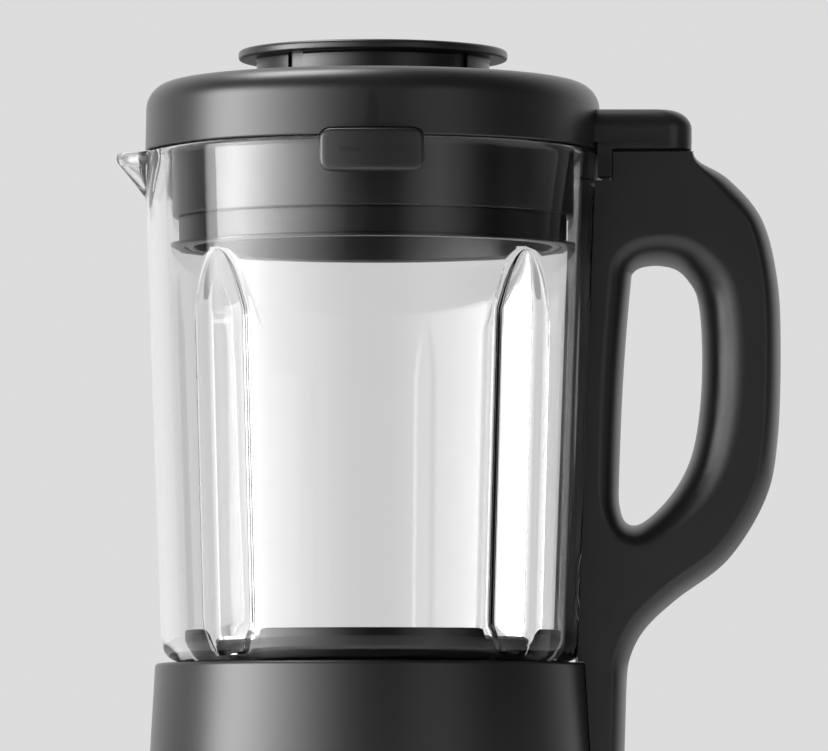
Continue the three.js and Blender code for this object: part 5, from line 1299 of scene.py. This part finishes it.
footLook = {
    "radius": 8.0, "low": -4.0, "high": 1.3, "hollow": 4.5, "hollowDepth": 0.6, "hollowSlope": 0.7,
    "round": 1.2, "ring": 74.3}

for index, turn in enumerate((45, 135, 225, 315), 1):
    look = footLook
    dish = look["low"] + look["hollowDepth"]
    foot = turnedMesh(f"rubberFoot{index}", rounded([
        (0, dish), (look["hollow"], dish, 0.4), (look["hollow"] + look["hollowSlope"], look["low"], 0.4),
        (look["radius"], look["low"], look["round"]), (look["radius"], look["high"]), (0, look["high"])]), 56)
    for vertex in foot.data.vertices:
        vertex.co.x += look["ring"] * mm * math.cos(math.radians(turn))
        vertex.co.y += look["ring"] * mm * math.sin(math.radians(turn))
    finishPiece(foot, "base", "black_silicone", mouldedSilicone, f"foot_{index}")
print("base made")


# Floor, light and camera.
floorLook = {
    "half": 6.0, "level": -4.02, "colour": "#EBEBEA", "paler": "#EFEFEE", "roughness": 0.7, "ior": 1.45,
    "mottle": 6.0}


def studioFloor():
    # smooth pale paper, matt, with the faintest mottle
    look = floorLook
    material, tree, shader, spot = startMaterial("paperFloor", look["roughness"], ior=look["ior"])
    mottle = addNode(tree, "ShaderNodeTexNoise", {"Scale": look["mottle"], "Detail": 3.0}, {"Vector": spot})
    tint = addNode(
        tree, "ShaderNodeMix",
        {"data_type": "RGBA", 6: toLinear(look["colour"]), 7: toLinear(look["paler"])},
        {"Factor": mottle.outputs["Fac"]})
    tree.links.new(tint.outputs[2], shader.inputs["Base Color"])
    half = look["half"] / mm
    corners = [(x * half, y * half, look["level"]) for x, y in ((-1, -1), (1, -1), (1, 1), (-1, 1))]
    floor = makePiece("floor", corners, [[0, 1, 2, 3]], keepNormals=True)
    floor.data.materials.append(material)


studioFloor()

# one tall diffuser curved round the front: brightest at the left side, faint before the camera, soft again
# at the right; "fade" is azimuth in degrees from the camera's side, and the share of the radiance there
keyLook = {
    "radius": 2.2, "low": -0.6, "high": 1.35, "radiance": 7.4,
    "fade": (
        (-93, 0.0), (-90, 0.7), (-86, 0.88), (-77, 1.0), (-70, 0.92), (-62, 0.7), (-51, 0.46), (-41, 0.31),
        (-31, 0.18), (-21, 0.08), (-12, 0.02), (0, 0.004), (12, 0.006), (22, 0.04), (34, 0.065), (46, 0.04),
        (58, 0.008), (70, 0.0))}


def makeKeyLight():
    look = keyLook
    steps, rows = 90, 6
    away = look["radius"] / mm
    first, last = look["fade"][0][0], look["fade"][-1][0]
    points, faces = [], []
    for j in range(rows + 1):
        z = look["low"] + (look["high"] - look["low"]) * j / rows
        for i in range(steps + 1):
            turn = math.radians(first + (last - first) * i / steps)
            points.append((away * math.sin(turn), -away * math.cos(turn), z / mm))
    for j in range(rows):
        for i in range(steps):
            a = j * (steps + 1) + i
            faces.append([a, a + steps + 1, a + steps + 2, a + 1])
    panel = makePiece("keyDiffuser", points, faces, keepNormals=True)
    material = bpy.data.materials.new("litDiffuser")
    material.use_nodes = True
    tree = material.node_tree
    tree.nodes.clear()
    spot = addNode(tree, "ShaderNodeTexCoord").outputs["Object"]
    split = addNode(tree, "ShaderNodeSeparateXYZ", links={0: spot})
    ahead = addNode(tree, "ShaderNodeMath", {"operation": "MULTIPLY", 1: -1.0}, {0: split.outputs["Y"]})
    azimuth = addNode(
        tree, "ShaderNodeMath", {"operation": "ARCTAN2"}, {0: split.outputs["X"], 1: ahead.outputs[0]})
    share = addNode(
        tree, "ShaderNodeMapRange", {"From Min": math.radians(first), "From Max": math.radians(last)},
        {"Value": azimuth.outputs[0]})
    fade = addNode(tree, "ShaderNodeValToRGB", links={"Fac": share.outputs[0]})
    ramp = fade.color_ramp
    for turn, value in look["fade"][1:-1]:
        ramp.elements.new((turn - first) / (last - first))
    for element, (turn, value) in zip(ramp.elements, look["fade"]):
        element.color = (value, value, value, 1)
    strength = addNode(
        tree, "ShaderNodeMath", {"operation": "MULTIPLY", 1: look["radiance"]}, {0: fade.outputs["Color"]})
    facing = addNode(tree, "ShaderNodeNewGeometry")
    inward = addNode(
        tree, "ShaderNodeMath", {"operation": "SUBTRACT", 0: 1.0}, {1: facing.outputs["Backfacing"]})
    front = addNode(
        tree, "ShaderNodeMath", {"operation": "MULTIPLY"}, {0: strength.outputs[0], 1: inward.outputs[0]})
    glow = addNode(tree, "ShaderNodeEmission", {"Color": (1, 1, 1, 1)}, {"Strength": front.outputs[0]})
    addNode(tree, "ShaderNodeOutputMaterial", links={"Surface": glow.outputs[0]})
    panel.data.materials.append(material)
    panel.visible_camera = False
    panel.visible_shadow = False


makeKeyLight()

topLook = {"place": (-0.62, 0.35, 2.3), "target": (0, 0, 0.3), "side": 0.9, "power": 20.0}


def makeTopLight():
    # soft box above and a little behind, for the round of the lid and the upper sides
    lamp = bpy.data.lights.new("topLight", "AREA")
    lamp.shape = "SQUARE"
    lamp.size = topLook["side"]
    lamp.energy = topLook["power"]
    holder = bpy.data.objects.new("topLight", lamp)
    holder.location = topLook["place"]
    aim = Vector(topLook["target"]) - Vector(topLook["place"])
    holder.rotation_euler = aim.to_track_quat("-Z", "Y").to_euler()
    bpy.context.scene.collection.objects.link(holder)


makeTopLight()

# strengths of the room round the object: dark up to "roomStart", which is the direction's share towards the
# back, and from there brighter up to "roomEnd", straight behind
worldLook = {
    "background": 0.72, "glossFront": 0.055, "glossBack": 1.0, "roomStart": 0.05, "roomEnd": 1.0,
    "behindGlass": 0.84, "fill": 0.4}


def makeWorld():
    # the camera and the glass see an even pale backdrop; gloss sees it behind the object, and a darker room
    # in front
    look = worldLook
    world = bpy.data.worlds.new("studio")
    bpy.context.scene.world = world
    world.use_nodes = True
    tree = world.node_tree
    tree.nodes.clear()
    spot = addNode(tree, "ShaderNodeTexCoord").outputs["Generated"]
    split = addNode(tree, "ShaderNodeSeparateXYZ", links={0: spot})
    room = addNode(
        tree, "ShaderNodeMapRange",
        {"interpolation_type": "SMOOTHSTEP", "From Min": look["roomStart"], "From Max": look["roomEnd"],
         "To Min": look["glossFront"], "To Max": look["glossBack"]},
        {"Value": split.outputs["Y"]})
    ways = addNode(tree, "ShaderNodeLightPath")
    # straight through the glass counts as seen; after a reflection it is gloss, after a matt bounce fill
    bounced = addNode(tree, "ShaderNodeMath", {"operation": "ADD", "use_clamp": True},
                      {0: ways.outputs["Diffuse Depth"], 1: ways.outputs["Glossy Depth"]})
    straight = addNode(tree, "ShaderNodeMath", {"operation": "SUBTRACT"},
                       {0: ways.outputs["Is Transmission Ray"], 1: bounced.outputs[0]})
    # one after any matt bounce, by the clamp
    matt = addNode(tree, "ShaderNodeMath", {"operation": "MULTIPLY", 1: 1.0, "use_clamp": True},
                   {0: ways.outputs["Diffuse Depth"]})
    # gloss seen through glass, as in its ribs, is a little weaker
    weaker = addNode(tree, "ShaderNodeMapRange", {"To Min": 1.0, "To Max": look["behindGlass"]},
                     {"Value": ways.outputs["Is Transmission Ray"]})
    dimmed = addNode(
        tree, "ShaderNodeMath", {"operation": "MULTIPLY"}, {0: room.outputs[0], 1: weaker.outputs[0]})
    gloss = addNode(tree, "ShaderNodeMix", {"data_type": "FLOAT", 3: look["fill"]},
                    {0: matt.outputs[0], 2: dimmed.outputs[0]})
    seen = addNode(tree, "ShaderNodeMath", {"operation": "MAXIMUM", "use_clamp": True},
                   {0: ways.outputs["Is Camera Ray"], 1: straight.outputs[0]})
    final = addNode(tree, "ShaderNodeMix", {"data_type": "FLOAT", 3: look["background"]},
                    {0: seen.outputs[0], 2: gloss.outputs[0]})
    shine = addNode(tree, "ShaderNodeBackground", {"Color": (1, 1, 1, 1)}, {"Strength": final.outputs[0]})
    addNode(tree, "ShaderNodeOutputWorld", links={"Surface": shine.outputs[0]})


makeWorld()

cameraLook = {"place": (0.0145, -2.75, 0.1935), "pitch": 3.025, "lens": 339.0, "sensor": 36.0}
camera = bpy.data.cameras.new("camera")
camera.lens = cameraLook["lens"]
camera.sensor_width = cameraLook["sensor"]
camera.clip_end = 50
holder = bpy.data.objects.new("camera", camera)
holder.location = cameraLook["place"]
holder.rotation_euler = (math.radians(90 + cameraLook["pitch"]), 0, 0)
bpy.context.scene.collection.objects.link(holder)
bpy.context.scene.camera = holder
bpy.context.scene.view_settings.view_transform = "Standard"
print("studio made")
